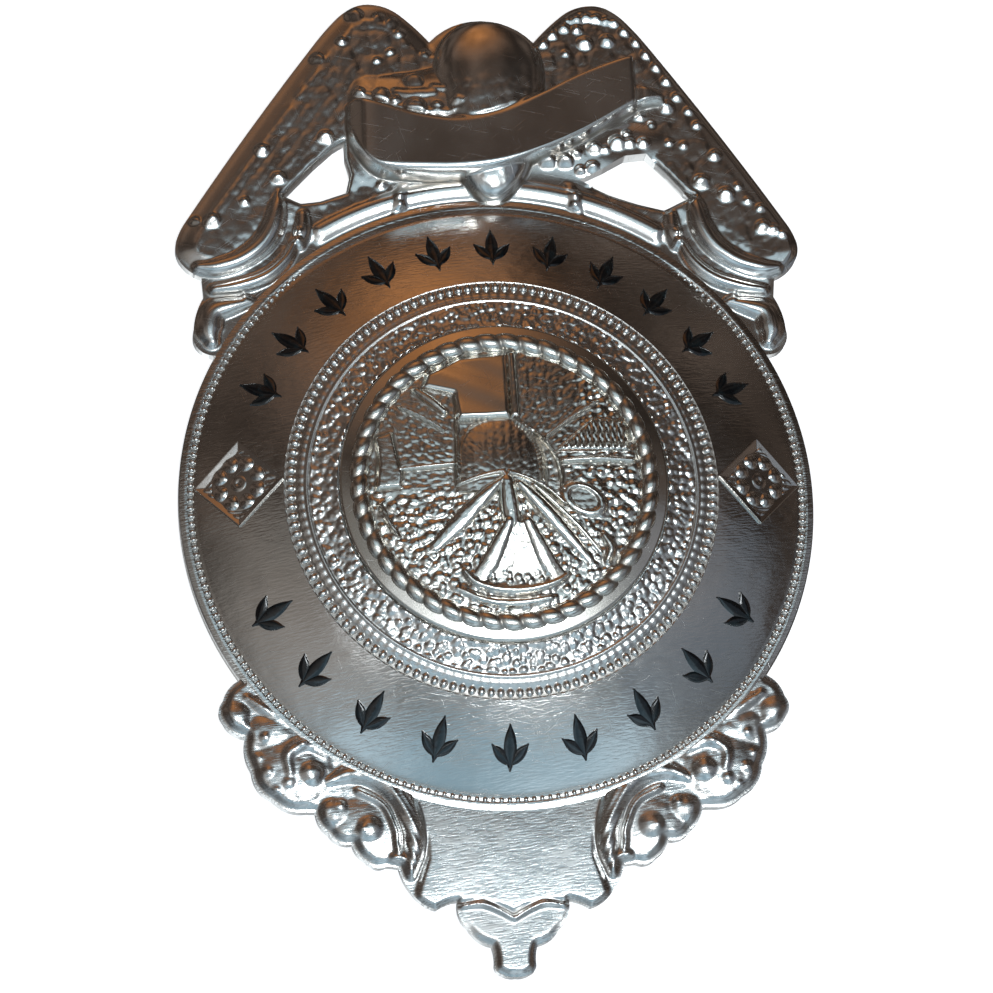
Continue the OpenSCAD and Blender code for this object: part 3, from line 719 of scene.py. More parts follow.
def lozenge(name, side):
    """Rosette on a ruled lozenge: a square grid whose height is a broad raised rim, ruled lines that run
    level, and a low round plate with eight grains round a ring-shaped eye, all laid on the dome."""
    half_w = LOZENGE_W / 2
    half_h = half_w * 0.94
    n = 110
    t = np.linspace(-1, 1, n)
    a, b = np.meshgrid(t, t)
    x = (a - b) / 2 * half_w
    y = (a + b) / 2 * half_h
    edge = 1 - np.maximum(np.abs(a), np.abs(b))
    away = np.hypot(x, y)
    turn = np.arctan2(y, x) / (np.pi / 4)
    flower = smooth(2.15 - away, 0, 0.2)
    rim = 0.24 * np.clip(1 - edge / 0.26, 0, 1) * smooth(edge, 0.0, 0.02)
    lines = 0.1 * roundness(((y / 0.44) % 1 - 0.5) / 0.5, 1) * smooth(edge, 0.06, 0.2) * (1 - flower)
    lines = lines * smooth(1 - b, 0.24, 0.32)
    across = ROSETTE_R * ((turn % 1) - 0.5) * np.pi / 4
    grains = 0.2 * roundness(np.hypot(away - ROSETTE_R, across) / 0.56, 0.9)
    eye = 0.12 * roundness((away - 0.35) / 0.35, 1.0)
    rise = np.maximum.reduce([rim, rim * 0.6 + lines, 0.06 * flower + grains, eye])
    angle = math.radians(LOZENGE_TURN) if side > 0 else math.pi - math.radians(LOZENGE_TURN)
    px = MARK_R * math.cos(angle) + x * math.cos(math.asin(MARK_R / DOME_R))
    py = MARK_R * math.sin(angle) + y
    base = field_z(np.hypot(px, py))
    top = np.stack([px, py, base + rise], -1)
    under = np.stack([px, py, base - 0.12], -1)
    points = np.vstack([top.reshape(-1, 3), under.reshape(-1, 3)])
    # Share of painted shade: darker in the hollows of the relief
    shade = np.concatenate([hollows(rise, 10, 0.16).ravel(), np.zeros(n * n)])
    return put(name, points, [slab(n, n)], PLATE, shade, crease=60)


# Eagle crest

# Right half of the outline: x share of CREST_W, y share of CREST_H, bow share of CREST_W
CREST = [
    (0, 0.967, 0.02), (0.17, 0.922, 0.003), (0.265, 0.978, 0.0095), (0.366, 1, 0.004),
    (0.423, 0.991, 0.003), (0.48, 0.963, 0.0015), (0.546, 0.915, 0.006), (0.969, 0.552, 0.003),
    (1, 0.512, 0.006), (0.991, 0.475, 0.008), (0.92, 0.441, 0), (0.914, 0.402, 0.007),
    (0.948, 0.337, 0.014), (0.92, 0.292, 0.006), (0.863, 0.287, 0), (0.77, 0.235, 0),
]
GAP_LEFT = [
    (-0.655, 0.603), (-0.6, 0.589), (-0.537, 0.594), (-0.454, 0.611), (-0.44, 0.648), (-0.454, 0.679),
    (-0.456, 0.713), (-0.493, 0.699), (-0.557, 0.664),
]
GAP_RIGHT = [
    (0.3, 0.637), (0.379, 0.659), (0.45, 0.683), (0.52, 0.688), (0.586, 0.648), (0.639, 0.612),
    (0.665, 0.603), (0.573, 0.577), (0.485, 0.59), (0.396, 0.608),
]
# Long feathers of a wing, in millimetres: distance from the leading edge, start and end along it
LONG_FEATHERS = [
    (1.5, -0.5, 18.0), (2.5, 0.2, 15.9), (3.45, 1.0, 13.6), (4.4, 1.6, 11.4), (5.3, 2.2, 8.3),
    (6.2, 2.4, 7.2), (7.15, 2.4, 6.4), (8.1, 2.0, 5.7),
]
# Upper corner of the leading edge, and the way that it runs
WING_CORNER = np.array([11.5, 36.2])
WING_WAY = np.array([0.580, -0.815])
# Ribbon: x, lower edge, upper edge, height share, width of the fall along its lower edge
RIBBON = [
    (-10.15, 28.4, 29.9, 0.75, 0.1), (-9.9, 27.2, 30.15, 0.85, 0.1), (-9.3, 25.9, 30.3, 0.95, 0.1),
    (-8.4, 24.9, 30.1, 1.0, 0.15), (-7.2, 24.45, 29.75, 1.0, 0.5), (-5, 24.3, 29.1, 0.98, 0.65),
    (-2, 24.35, 28.75, 0.96, 0.65), (1, 24.85, 29.35, 0.96, 0.5), (4, 25.9, 30.75, 0.97, 0.3),
    (7, 27.25, 32.3, 0.99, 0.25), (10, 29.0, 33.5, 1.0, 0.25), (11.1, 29.7, 33.75, 0.98, 0.25),
]
RIBBON_TAIL = [
    (10.6, 29.6, 31.7, 0.74, 0.2), (11.6, 29.9, 31.55, 0.76, 0.2), (12.5, 30.1, 31.3, 0.72, 0.2),
    (13.25, 30.2, 30.9, 0.62, 0.2),
]
# Short feathers worn round, on the wings, the neck and under the ribbon: x, y, radius
TUFTS = [
    (-9.4, 37.3, 0.65), (-7.6, 37.1, 0.4), (-6.6, 36.7, 0.5), (-6.0, 35.8, 0.4), (-6.8, 34.3, 0.3),
    (-10.4, 35.1, 0.35), (-12.2, 33.8, 0.5), (-7.8, 33.6, 0.3), (-4.2, 34.2, 0.35), (-16.4, 26.5, 0.5),
    (-11.7, 27.5, 0.55), (-15.2, 24.3, 0.5), (-17.7, 22.5, 0.35), (-21.3, 21.1, 0.4), (-20.1, 21.0, 0.6),
    (-9.2, 31.0, 0.4), (-7.6, 30.6, 0.65), (-6.6, 30.2, 0.4), (-5.2, 29.5, 0.8), (-3.6, 29.6, 0.4),
    (-1.9, 29.65, 0.8), (-5.2, 31.8, 0.7), (-7.3, 24.9, 0.4), (-7.7, 23.9, 0.35),
    (6.1, 36.2, 0.45), (6.4, 36.8, 0.35), (7.1, 36.9, 0.45), (7.8, 37.1, 0.45), (8.5, 37.0, 0.45),
    (9.3, 36.8, 0.4), (9.9, 36.7, 0.4), (10.6, 36.0, 0.42), (11.5, 35.2, 0.42), (12.2, 34.2, 0.42),
    (12.9, 33.2, 0.42), (13.6, 32.1, 0.4), (14.3, 30.8, 0.4), (13.5, 30.0, 0.5), (15.1, 29.7, 0.35),
    (15.7, 28.6, 0.35), (5.2, 35.7, 0.45), (4.5, 35.0, 0.4), (7.1, 36.1, 0.4), (7.6, 35.0, 0.55),
    (9.3, 35.2, 0.55), (6.2, 34.2, 0.3), (11.5, 29.2, 0.35), (12.3, 28.6, 0.3), (4.5, 25.7, 0.6),
    (5.8, 25.7, 0.6), (6.6, 26.3, 0.4), (8.0, 26.7, 0.55), (8.8, 26.6, 0.35), (9.7, 27.1, 0.62),
    (10.6, 27.1, 0.45), (11.6, 27.1, 0.45), (10.4, 27.8, 0.35), (13.6, 27.2, 0.3), (14.6, 27.0, 0.3),
    (16.9, 26.2, 0.45), (15.8, 24.1, 0.6), (17.6, 23.1, 0.6), (18.5, 23.8, 0.3), (19.2, 22.7, 0.3),
    (20.1, 22.1, 0.35), (20.2, 20.6, 0.55), (21.0, 20.4, 0.45), (21.6, 20.1, 0.35), (7.8, 25.2, 0.5),
    (6.9, 25.0, 0.4),
]
# Climb of a tuft's top with each millimetre towards +Y
TUFT_FALL = 0.39
# Neck of the eagle and the feathers on it: x, y, half width, height
NECK = [(0.5, 29.8, 3.9, 1.9), (-2.4, 29.8, 3.7, 1.7), (-5.0, 29.9, 3.3, 1.45), (-8.2, 30.6, 2.4, 0.9)]
NECK_FEATHERS = [
    [(-6.6, 30.95, 0.35, 1.0), (-5.2, 30.75, 0.45, 1.2), (-3.8, 30.8, 0.35, 1.0)],
    [(-3.8, 31.2, 0.3, 1.0), (-2.2, 31.1, 0.35, 1.2), (-0.4, 31.8, 0.3, 0.8)],
    [(-9.4, 31.0, 0.25, 0.7), (-8.2, 30.6, 0.4, 1.2), (-6.8, 30.1, 0.4, 1.2)],
    [(-7.2, 29.9, 0.2, 0.8), (-3.5, 29.2, 0.3, 1.2), (0.2, 29.5, 0.2, 0.8)],
]
NECK_FEATHER_RISE = 0.12
# Head: x of its middle, half width, and half height above and below HEAD_Y
HEAD_X, HEAD_W, HEAD_UP, HEAD_DOWN = 0.4, 4.0, 4.5, 10.0
# Swelling under the ribbon's right: x, y, half length, half width, height, turn in degrees
RUG = (6.8, 26.3, 8.5, 2.6, 0.8, 12)
# Fall of the lower edge of the ribbon and of its tail
RIBBON_DROP, TAIL_DROP = 0.22, 0.1
# Collars on the rod at this distance to the left and right, and balls beside it: distance, radius
COLLAR_X = 6.5
ROD_BALLS = [(ROD_R + 0.75, 0.4), (ROD_R - 0.2, 0.4)]
# Rod round the field: distance from the field's edge and height
ROD = [(0.15, 0.0), (0.35, 0.14), (0.8, 0.32), (1.1, 0.38), (1.4, 0.34), (1.75, 0.12), (1.9, 0.0)]
# Scrolls of a shoulder: x, y, half width, height
SHOULDER = [
    [(15.2, 23.3, 0.55, 0.9), (15.35, 22.2, 0.95, 1.3), (15.75, 20.7, 1.05, 1.4), (16.6, 19.3, 1.0, 1.35),
     (18.1, 18.2, 0.9, 1.25), (19.8, 17.65, 0.8, 1.15), (21.1, 17.6, 0.5, 0.9)],
    [(14.0, 19.7, 0.4, 0.8), (14.9, 18.1, 0.55, 0.95), (16.3, 16.9, 0.6, 1.0), (18.2, 16.2, 0.6, 1.0),
     (20.0, 15.9, 0.45, 0.8)],
    [(13.5, 21.6, 0.7, 0.75), (13.55, 20.5, 0.75, 0.85), (13.8, 19.4, 0.5, 0.7)],
    [(17.4, 15.0, 0.4, 0.65), (18.7, 14.7, 0.7, 0.9), (20.1, 14.2, 0.95, 1.0), (20.4, 12.9, 1.0, 0.95),
     (20.2, 12.0, 0.6, 0.7)],
]
SHOULDER_BUMPS = [(13.9, 20.3, 0.3), (13.9, 19.6, 0.28), (17.75, 15.35, 0.3)]


def long_feathers():
    """Long feathers of the right wing, parallel to the leading edge with a slight bow, soft at both ends."""
    inward = np.array([WING_WAY[1], -WING_WAY[0]])
    rows = []
    for off, start, end in LONG_FEATHERS:
        k = np.linspace(0, 1, 6)
        along = start + (end - start) * k
        bow = 0.25 * np.sin(np.pi * k)
        place = WING_CORNER + along[:, None] * WING_WAY + (off + bow)[:, None] * inward
        width = np.interp(k, [0, 0.2, 0.9, 1], [0.45, 0.6, 0.62, 0.5])
        tall = np.interp(k, [0, 0.3, 0.85, 1], [0.03, 0.11, 0.13, 0.06])
        rows.append(np.column_stack([place, width, tall]))
    return rows


def tuft(points, x, y, size):
    """Worn tip of a short feather: a round step of a radius whose top falls towards -Y at TUFT_FALL."""
    off = points - (x, y)
    return TUFT_FALL * (off[:, 1] + size) * roundness(np.hypot(*off.T) / size, 0.35)


def ribbon_over(points, z, table, drop):
    """Heights with a ribbon laid over them, from rows of x, lower edge, upper edge, height share and width
    of the fall: level, lower by drop along its lower edge, and with a steep edge all round."""
    rows = spline(table, 6)
    low, high, tall, fall = (np.interp(points[:, 0], rows[:, 0], rows[:, i]) for i in (1, 2, 3, 4))
    under, over = points[:, 1] - low, high - points[:, 1]
    start, end = points[:, 0] - rows[0, 0], rows[-1, 0] - points[:, 0]
    room = np.minimum.reduce([under * 0.8, over * 0.9, start, end])
    level = RIBBON_RISE * tall - drop * (1 - smooth(under, 0, fall)) - 0.14 * (1 - smooth(over, 0, 0.5))
    level -= 0.35 * (1 - smooth(start, 0, 1.3))
    return z + (EDGE_T + level - z) * smooth(room, 0, 0.16)


CREST_OUTLINE = both_sides(bowed(CREST, CREST_W, CREST_H))
CREST_GAPS = [np.array(gap) * (CREST_W, CREST_H) for gap in (GAP_LEFT, GAP_RIGHT)]


def crest_edge(points):
    """Distance to the nearest outer or pierced edge of the crest, positive in the metal."""
    return np.minimum.reduce([inset(points, CREST_OUTLINE), *(-inset(points, gap) for gap in CREST_GAPS)])


def crest_room(points):
    """As crest_edge, and outside the round field that the crest is tucked into."""
    return np.minimum(crest_edge(points), np.hypot(*points.T) - TUCK_R)


def wings(points, edge, outer, r):
    """Height that the wings add: a swelling body that starts under the rod and climbs away from it, a
    mottled skin, and faint long feathers, stronger on the left."""
    x, y = points.T
    part = smooth(y - 0.25 * np.abs(x), 11.0, 13.5) * smooth(r, ROD_R, ROD_R + 0.5)
    band = np.where(x < 0, 1.6, 0.6)
    swell = (0.15 + 0.3 * smooth(r, ROD_R + 1.2, ROD_R + 4.0)) * smooth(outer, 0.0, band)
    coarse = (0.03 + 0.03 * smooth(y, 27.0, 33.0)) * pebbles(points * (1, 0.8), 1.1, 7)
    mottle = (coarse + 0.02 * pebbles(points, 0.6, 9)) * smooth(outer, 0.9, 1.6) * smooth(edge, 0.1, 0.5)
    feathers = np.zeros(len(points))
    for rows in long_feathers():
        for side in (rows, flipped(rows)):
            feathers = np.maximum(feathers, ridge(points, side, 1.0, 3))
    feathers *= (0.15 + 0.35 * smooth(-x, 0.0, 2.0)) * smooth(edge, 0.7, 1.4)
    return part * (swell + mottle + feathers)


def rod_and_shoulders(points, z, edge, r):
    """Heights with the rod, its collars and balls, and the scrolls of both shoulders laid over them."""
    x, y = points.T
    lift = smooth(edge, 0.0, 0.55)
    reach = smooth(33.5 - np.abs(np.degrees(np.arctan2(y, x)) - 90), 0, 2.5)
    z = np.maximum(z, EDGE_T + reach * np.interp(r - DISC_R, *np.transpose(ROD)))
    for sign in (1, -1):
        for rows in SHOULDER:
            rows = rows if sign > 0 else flipped(rows)
            z = np.maximum(z, EDGE_T + 0.65 * ridge(points, rows, 0.9) * smooth(edge, 0.0, 0.4))
        for bump_x, bump_y, size in SHOULDER_BUMPS:
            z += dome(points, sign * bump_x, bump_y, size, size, 0.2) * lift
        collar = roundness((x - sign * COLLAR_X + sign * 0.3 * (r - ROD_R)) / 0.45, 1.0)
        z += 0.16 * collar * roundness((r - ROD_R - 0.2) / 1.3, 0.5)
        for radius, size in ROD_BALLS:
            z += dome(points, sign * radius * 0.27, radius * 0.963, size, size, 0.14, 0, 0.9)
    return z


def crest_height(points):
    """Height of the crest's face: a rounded edge, the wings and the worn tufts laid on it, and the neck, the
    head, the ribbon, the rod and the scrolls above, whichever is the highest."""
    edge = crest_edge(points)
    outer = inset(points, CREST_OUTLINE)
    r = np.hypot(*points.T)
    z = EDGE_T - 0.3 + 0.3 * roundness(1 - np.clip(edge / 0.3, 0, 1)) + wings(points, edge, outer, r)

    rug = np.minimum(dome(points, *RUG), 0.2 + 0.42 * smooth(r, ROD_R + 1.2, ROD_R + 4.5))
    z = np.maximum(z, EDGE_T + rug * smooth(outer, 0.0, 0.55) * smooth(r, ROD_R, ROD_R + 0.5))
    neck = ridge(points, NECK, 0.6) * (0.97 + 0.03 * pebbles(points, 0.9, 11))
    z = np.maximum(z, EDGE_T + neck * smooth(points[:, 1], 27.0, 28.0) * smooth(edge, 0.0, 0.55))
    z += NECK_FEATHER_RISE * ridges(points, NECK_FEATHERS, power=0.9)
    z += np.max([tuft(points, x, y, size) for x, y, size in TUFTS], axis=0) * smooth(edge, 0.0, 0.3)

    long_y = np.where(points[:, 1] > HEAD_Y, HEAD_UP, HEAD_DOWN)
    away = np.hypot((points[:, 0] - HEAD_X) / HEAD_W, (points[:, 1] - HEAD_Y) / long_y)
    head = 0.94 * HEAD_RISE * roundness(away, 0.3) * smooth(edge, 0.0, 0.8)
    head += 0.03 * pebbles(points, 0.8, 13) * smooth(HEAD_Y - points[:, 1], 0.0, 1.5) * (away < 0.95)
    z = np.maximum(z, EDGE_T + head)
    z = ribbon_over(points, z, RIBBON_TAIL, TAIL_DROP)
    z = ribbon_over(points, z, RIBBON, RIBBON_DROP)
    z = rod_and_shoulders(points, z, edge, r)
    return np.minimum(z, EDGE_T + HEAD_RISE)


# Bottom scrolls

# Right half of the outline: x share of FOOT_W, y share of FOOT_H, bow share of FOOT_W
FOOT = [
    (0.917, 0.366, 0), (0.94, 0.381, 0.01), (0.997, 0.424, 0.015), (0.997, 0.468, 0.013), (0.922, 0.5, 0.012),
    (0.902, 0.57, 0.018), (0.832, 0.631, 0.015), (0.717, 0.657, 0), (0.682, 0.657, 0.01),
    (0.637, 0.703, 0.015), (0.556, 0.724, 0.008), (0.511, 0.759, 0.015), (0.436, 0.77, 0),
    (0.396, 0.773, 0.005), (0.356, 0.823, 0.01), (0.271, 0.86, -0.005), (0.195, 0.843, 0.014),
    (0.16, 0.901, 0.012), (0.08, 0.936, -0.004), (0.073, 0.977, 0.006), (0.05, 0.994, 0.005), (0, 1, 0),
]
# Ridges of the right side: x, y, half width, height
FOOT_RIDGES = [
    [(18.2, -14.4, 0.4, 0.5), (16.9, -15.3, 0.55, 0.65), (15.4, -16.4, 0.5, 0.5)],
    [(12.7, -20.5, 0.5, 0.6), (11.0, -19.95, 0.8, 0.85), (9.2, -20.3, 0.95, 1.0), (7.7, -21.8, 1.0, 1.1),
     (6.95, -23.7, 0.95, 1.1), (6.8, -25.4, 0.8, 1.0), (7.15, -27.1, 0.45, 0.7)],
    [(10.6, -21.2, 0.35, 0.65), (8.9, -22.2, 0.4, 0.8), (8.1, -23.9, 0.4, 0.85), (7.9, -25.6, 0.35, 0.7)],
    [(12.8, -18.6, 0.5, 0.6), (14.2, -17.9, 0.7, 0.95), (15.4, -18.6, 0.7, 1.0), (15.3, -19.9, 0.6, 0.95)],
]
# Bosses of the right side: x, y, radius across, radius along, height
FOOT_BOSSES = [
    (19.0, -15.7, 1.2, 1.2, 0.65), (16.6, -16.9, 2.1, 1.6, 0.6), (15.1, -19.7, 3.3, 3.0, 0.75),
    (13.9, -19.9, 1.2, 1.2, 1.05), (10.1, -23.9, 3.0, 2.9, 0.6), (9.9, -23.9, 1.25, 1.25, 0.95),
    (12.3, -22.7, 1.4, 1.2, 0.7), (7.9, -26.2, 0.9, 0.8, 0.75), (10.4, -25.9, 1.0, 0.7, 0.6),
]
# Small spots on them: x, y, radius
FOOT_SPOTS = [
    (16.9, -19.8, 0.45), (15.4, -20.6, 0.45), (14.4, -17.8, 0.4), (18.4, -16.4, 0.4), (11.8, -22.1, 0.35),
    (16.3, -21.1, 0.35), (17.5, -18.7, 0.35), (10.4, -23.9, 0.35), (17.0, -17.3, 0.35),
]
# Side edge of the tail plate: y, x
TAIL_EDGE = [
    (-30.0, 6.9), (-28.5, 6.9), (-27.5, 6.6), (-26.0, 6.1), (-24.5, 6.1), (-23.3, 6.5), (-22.2, 7.5),
    (-21.0, 9.0),
]
# Tail plate: height of its crown, where that lies, and how far from it the height has gone
TAIL_RISE, TAIL_CROWN_Y, TAIL_BOW = 0.3, -29.5, 8.3
# Finial: where its notch lies, its height and how much it climbs with each millimetre below the notch
FINIAL_Y, FINIAL_RISE, FINIAL_CLIMB = -29.9, 0.2, 0.04
# Line along the top of the finial: x, y, half width, height
FINIAL_LINE = [
    (0.0, -30.35, 0.22, 0.5), (1.0, -29.75, 0.24, 0.55), (2.2, -29.3, 0.24, 0.55), (3.6, -29.45, 0.2, 0.5),
]
# Spacing of the hatching on the inner scrolls
HATCH_PITCH = 0.7

FOOT_OUTLINE = both_sides(bowed(FOOT, FOOT_W, -FOOT_H))


def foot_room(points):
    """Distance inside the foot's outline or outside the round field that it is tucked into, the smaller."""
    return np.minimum(inset(points, FOOT_OUTLINE), np.hypot(*points.T) - TUCK_R)


def foot_height(points):
    """Height of the foot's face: a thin flange round the outline, the tail plate with its crown near the
    notch, ridges, bosses and spots on both sides, and the lobed finial, whichever is the highest."""
    edge = inset(points, FOOT_OUTLINE)
    right = np.abs(points) * (1, -1)
    x, y = right.T
    z = EDGE_T - 0.2 + 0.2 * roundness(1 - np.clip(edge / 0.2, 0, 1))
    side = np.interp(y, *np.transpose(TAIL_EDGE)) - x
    bracket = FINIAL_Y + 0.42 * x * np.clip(1.35 - 0.24 * x, 0, 2)
    tail = smooth(side, 0, 0.5) * smooth(y - bracket, 0.0, 0.12) * smooth(edge, 0.05, 0.3)
    z = np.maximum(z, EDGE_T + TAIL_RISE * (1 - ((y - TAIL_CROWN_Y) / TAIL_BOW) ** 2) * tail)

    rise = np.maximum(ridges(right, FOOT_RIDGES, power=0.8), 0.3 * smooth(x, 7.0, 8.0))
    for boss_x, boss_y, rx, ry, tall in FOOT_BOSSES:
        rise = np.maximum(rise, dome(right, boss_x, boss_y, rx, ry, tall, 0, 0.7))
    for spot_x, spot_y, size in FOOT_SPOTS:
        rise += dome(right, spot_x, spot_y, size, size, 0.05 + 0.3 * size, 0, 0.9)
    rise += 0.05 * pebbles(points, 0.75, 15) * smooth(x, 9.0, 11.0)
    hatch = 0.05 * np.cos((x - 0.6 * y) * 2 * np.pi / HATCH_PITCH) * (x < 8.3) * (rise > 0.5)
    z = np.maximum(z, EDGE_T + (0.8 * rise + hatch) * smooth(edge, 0.2, 0.6))

    finial = (x < 4.4) * smooth(bracket - y, 0.05, 0.25)
    middle = (FINIAL_RISE + FINIAL_CLIMB * (FINIAL_Y - y)) * smooth(edge, 0.1, 0.5)
    border = 0.14 * (1 - smooth(edge, 0.15, 0.5)) * smooth(y, -32.4, -30.5)
    line = ridge(right, FINIAL_LINE, 0.8) * smooth(edge, 0.05, 0.25)
    return np.maximum(z, EDGE_T + np.maximum((middle + border) * finial, line))


# Applied seal

# Lines and bars on the seal: x, y, half width, height share
SEAL_RIDGES = [
    [(-3.35, 0.0, 0.14, 0.6), (-3.35, 2.6, 0.14, 0.6), (-3.3, 5.3, 0.12, 0.4)],
    [(0.8, 4.2, 0.12, 0.7), (1.9, 3.2, 0.14, 0.75), (2.5, 1.6, 0.14, 0.75), (2.6, -0.2, 0.12, 0.7)],
    [(1.3, 4.0, 0.12, 0.6), (2.8, 2.8, 0.15, 0.7), (3.75, 1.2, 0.15, 0.7), (4.0, -0.7, 0.12, 0.6)],
    [(-3.4, -0.5, 0.12, 0.6), (-1.9, 0.0, 0.15, 0.85), (-0.3, 0.3, 0.17, 0.95), (1.2, 0.0, 0.16, 0.9),
     (2.8, -0.8, 0.14, 0.8), (4.1, -1.9, 0.12, 0.6)],
    [(-3.1, -6.7, 0.2, 0.5), (-2.3, -7.5, 0.28, 0.5), (-0.6, -8.0, 0.32, 0.5), (1.4, -8.0, 0.32, 0.5),
     (3.3, -7.5, 0.26, 0.5), (4.2, -6.9, 0.16, 0.4)],
    [(-3.6, -7.9, 0.2, 0.3), (-1.6, -8.75, 0.3, 0.4), (0.6, -8.95, 0.35, 0.45), (2.9, -8.6, 0.25, 0.35)],
    [(3.0, 3.1, 0.1, 0.6), (4.8, 4.5, 0.16, 0.7), (6.7, 5.8, 0.14, 0.6)],
    [(4.1, 1.25, 0.16, 0.6), (6.6, 1.45, 0.25, 0.7), (9.1, 1.4, 0.2, 0.6)],
    [(-7.2, 5.35, 0.14, 0.6), (-5.8, 4.6, 0.16, 0.65), (-4.3, 3.6, 0.12, 0.5)],
    [(-6.1, 6.6, 0.3, 0.6), (-5.2, 5.9, 0.36, 0.7), (-4.2, 5.0, 0.3, 0.6)],
    [(-7.3, 0.75, 0.14, 0.6), (-5.4, 0.9, 0.16, 0.6), (-3.6, 1.05, 0.12, 0.5)],
    [(6.8, -4.1, 0.25, 0.5), (7.3, -5.0, 0.35, 0.6), (7.0, -5.9, 0.25, 0.5)],
    [(-8.9, -1.8, 0.16, 0.45), (-8.2, -3.2, 0.2, 0.5), (-7.6, -4.1, 0.14, 0.4)],
]
# Broad flat bands of the hat's brim and its front, falling away below: x, y, half width, height
SEAL_BANDS = [
    [(-0.5, -0.4, 0.3, 0.8), (-1.4, -1.2, 0.5, 0.74), (-3.2, -3.0, 0.62, 0.46), (-5.1, -4.9, 0.35, 0.2)],
    [(0.9, -0.5, 0.3, 0.8), (2.3, -1.9, 0.5, 0.66), (4.0, -3.8, 0.45, 0.4), (5.8, -5.9, 0.25, 0.15)],
    [(1.9, -0.6, 0.15, 0.7), (3.4, -1.9, 0.2, 0.5), (5.2, -3.7, 0.2, 0.35), (6.6, -5.4, 0.12, 0.2)],
    [(0.0, -0.3, 0.55, 0.85), (0.15, -1.8, 0.65, 0.8), (0.3, -3.3, 0.6, 0.7)],
    [(0.1, -3.3, 0.45, 0.78), (-0.5, -4.5, 0.55, 0.6), (-1.2, -5.9, 0.6, 0.36), (-2.1, -7.2, 0.5, 0.12)],
    [(1.4, -3.3, 0.45, 0.78), (2.0, -4.5, 0.55, 0.6), (2.7, -5.9, 0.6, 0.36), (3.6, -7.2, 0.5, 0.12)],
]
# Outlines of the flat shapes: x, y
FRONT_PIECE = [
    (-0.5, -3.2), (2.0, -3.2), (2.4, -4.6), (3.4, -6.8), (2.2, -7.6), (-0.8, -7.6), (-2.0, -6.8),
    (-1.0, -4.6),
]
AXE = [(-9.1, 3.2), (-7.9, 3.6), (-7.5, 1.6), (-7.2, 0.4), (-7.35, -0.6), (-9.2, -0.75), (-8.9, 1.4)]
PANEL = [(-5.7, 6.8), (-3.5, 6.2), (-3.3, 4.2), (0.5, 4.4), (0.45, 9.5), (-3.0, 9.1), (-5.3, 7.9)]
POLE = [(0.5, 4.4), (1.2, 4.4), (1.05, 9.5), (0.45, 9.5)]
LADDER = [(3.6, 2.0), (9.0, 2.1), (8.7, 4.4), (6.4, 4.6)]
# Trumpet's bell: x, y, half length, half width, turn in degrees
BELL = (5.5, -1.5, 1.75, 1.15, -28)


def ground_z(r):
    """Height of the seal's ground above its back: flat to its edge and a little raised in the middle."""
    return SEAL_EDGE * 0.8 + SEAL_RISE * (1 - (r / SEAL_R) ** 2)


def plateau(points, outline, slope):
    """Share from 0 to 1 of a flat raised shape with rounded shoulders of a width."""
    return roundness(1 - np.clip(inset(points, np.array(outline)) / slope, 0, 1))


def seal_relief(points):
    """Relief of the seal above its ground: grains, coarse below and finer above, then the crown and the
    flat shapes, then the lines and bars, whichever is the highest, all inside the rope."""
    x, y = points.T
    r = np.hypot(x, y)
    coarse = np.maximum(smooth(-y, -0.5, 2.0), smooth(x, 4.5, 6.5))
    z = 0.1 * coarse * pebbles(points, 0.6, 2, 0.55) + 0.03 * pebbles(points, 0.42, 4)
    crown = dome(points, -0.3, 0.3, 3.3, 4.5, 0.5) * (y > -1.0)
    ribs = 0.006 * np.cos((x + 0.3) * 2 * np.pi / 0.62) + 0.01 * pebbles(points, 0.5, 6)
    ribs = ribs * smooth(crown, 0.1, 0.3)
    plain = 0.76 - 0.1 * (y - 4) + 0.03 * np.sin(y * 2.4 + 1.1 * x)
    front = 0.66 + 0.17 * (y + 3.2) + 0.03 * pebbles(points, 0.55, 8)
    wear = 0.015 * pebbles(points, 0.4, 10) * (1 - plateau(points, PANEL, 0.4))
    strokes = 0.3 + 0.1 * np.cos((x + 0.25 * y) * 2 * np.pi / 0.45) * np.cos(y * 2 * np.pi / 1.7)
    bell_x, bell_y, bell_long, bell_wide, bell_turn = BELL
    ring = dome(points, bell_x, bell_y, bell_long, bell_wide, 1.0, bell_turn, 1.0)
    bell = 0.3 * roundness((ring - 0.3) / 0.3) + 0.12 * smooth(ring, 0.3, 0.6)
    z = np.maximum.reduce([
        z, crown + ribs, plain * plateau(points, PANEL, 0.4), 0.55 * plateau(points, POLE, 0.25),
        front * plateau(points, FRONT_PIECE, 0.15), ridges(points, SEAL_BANDS, power=0.25),
        0.42 * plateau(points, AXE, 0.25), strokes * plateau(points, LADDER, 0.3), bell,
        FIGURE_H * ridges(points, SEAL_RIDGES, power=0.5),
    ])
    return (z + wear) * smooth(ROPE_R - 0.55 - r, 0, 0.25)


def seal_face():
    """Seal on a grid of angle and distance: a smooth moulding that slopes to its edge, a channel for the rope
    and the relief inside."""
    outer = np.array([(SEAL_R, 0.0), (SEAL_R, SEAL_EDGE * 0.75), (SEAL_R - 0.04, SEAL_EDGE * 0.9)])
    lip_r = np.linspace(SEAL_R - 0.1, SEAL_R - 0.95, 10)
    lip = np.column_stack([lip_r, SEAL_EDGE + 0.27 * (SEAL_R - lip_r)])
    inner_r = np.linspace(SEAL_R - 1.05, 0.3, 97)
    profile = np.vstack([outer, lip, np.column_stack([inner_r, ground_z(inner_r)])]) + (0, SEAL_LOW[2])

    def relief(angle, radius, row):
        """The seal's relief, on all rows inside its outer wall."""
        return seal_relief(plan(angle, radius)).reshape(radius.shape) * (row >= len(outer))

    return turned("seal_face", profile, 680, SEAL_METAL, relief, "centre_seal", crease=60)


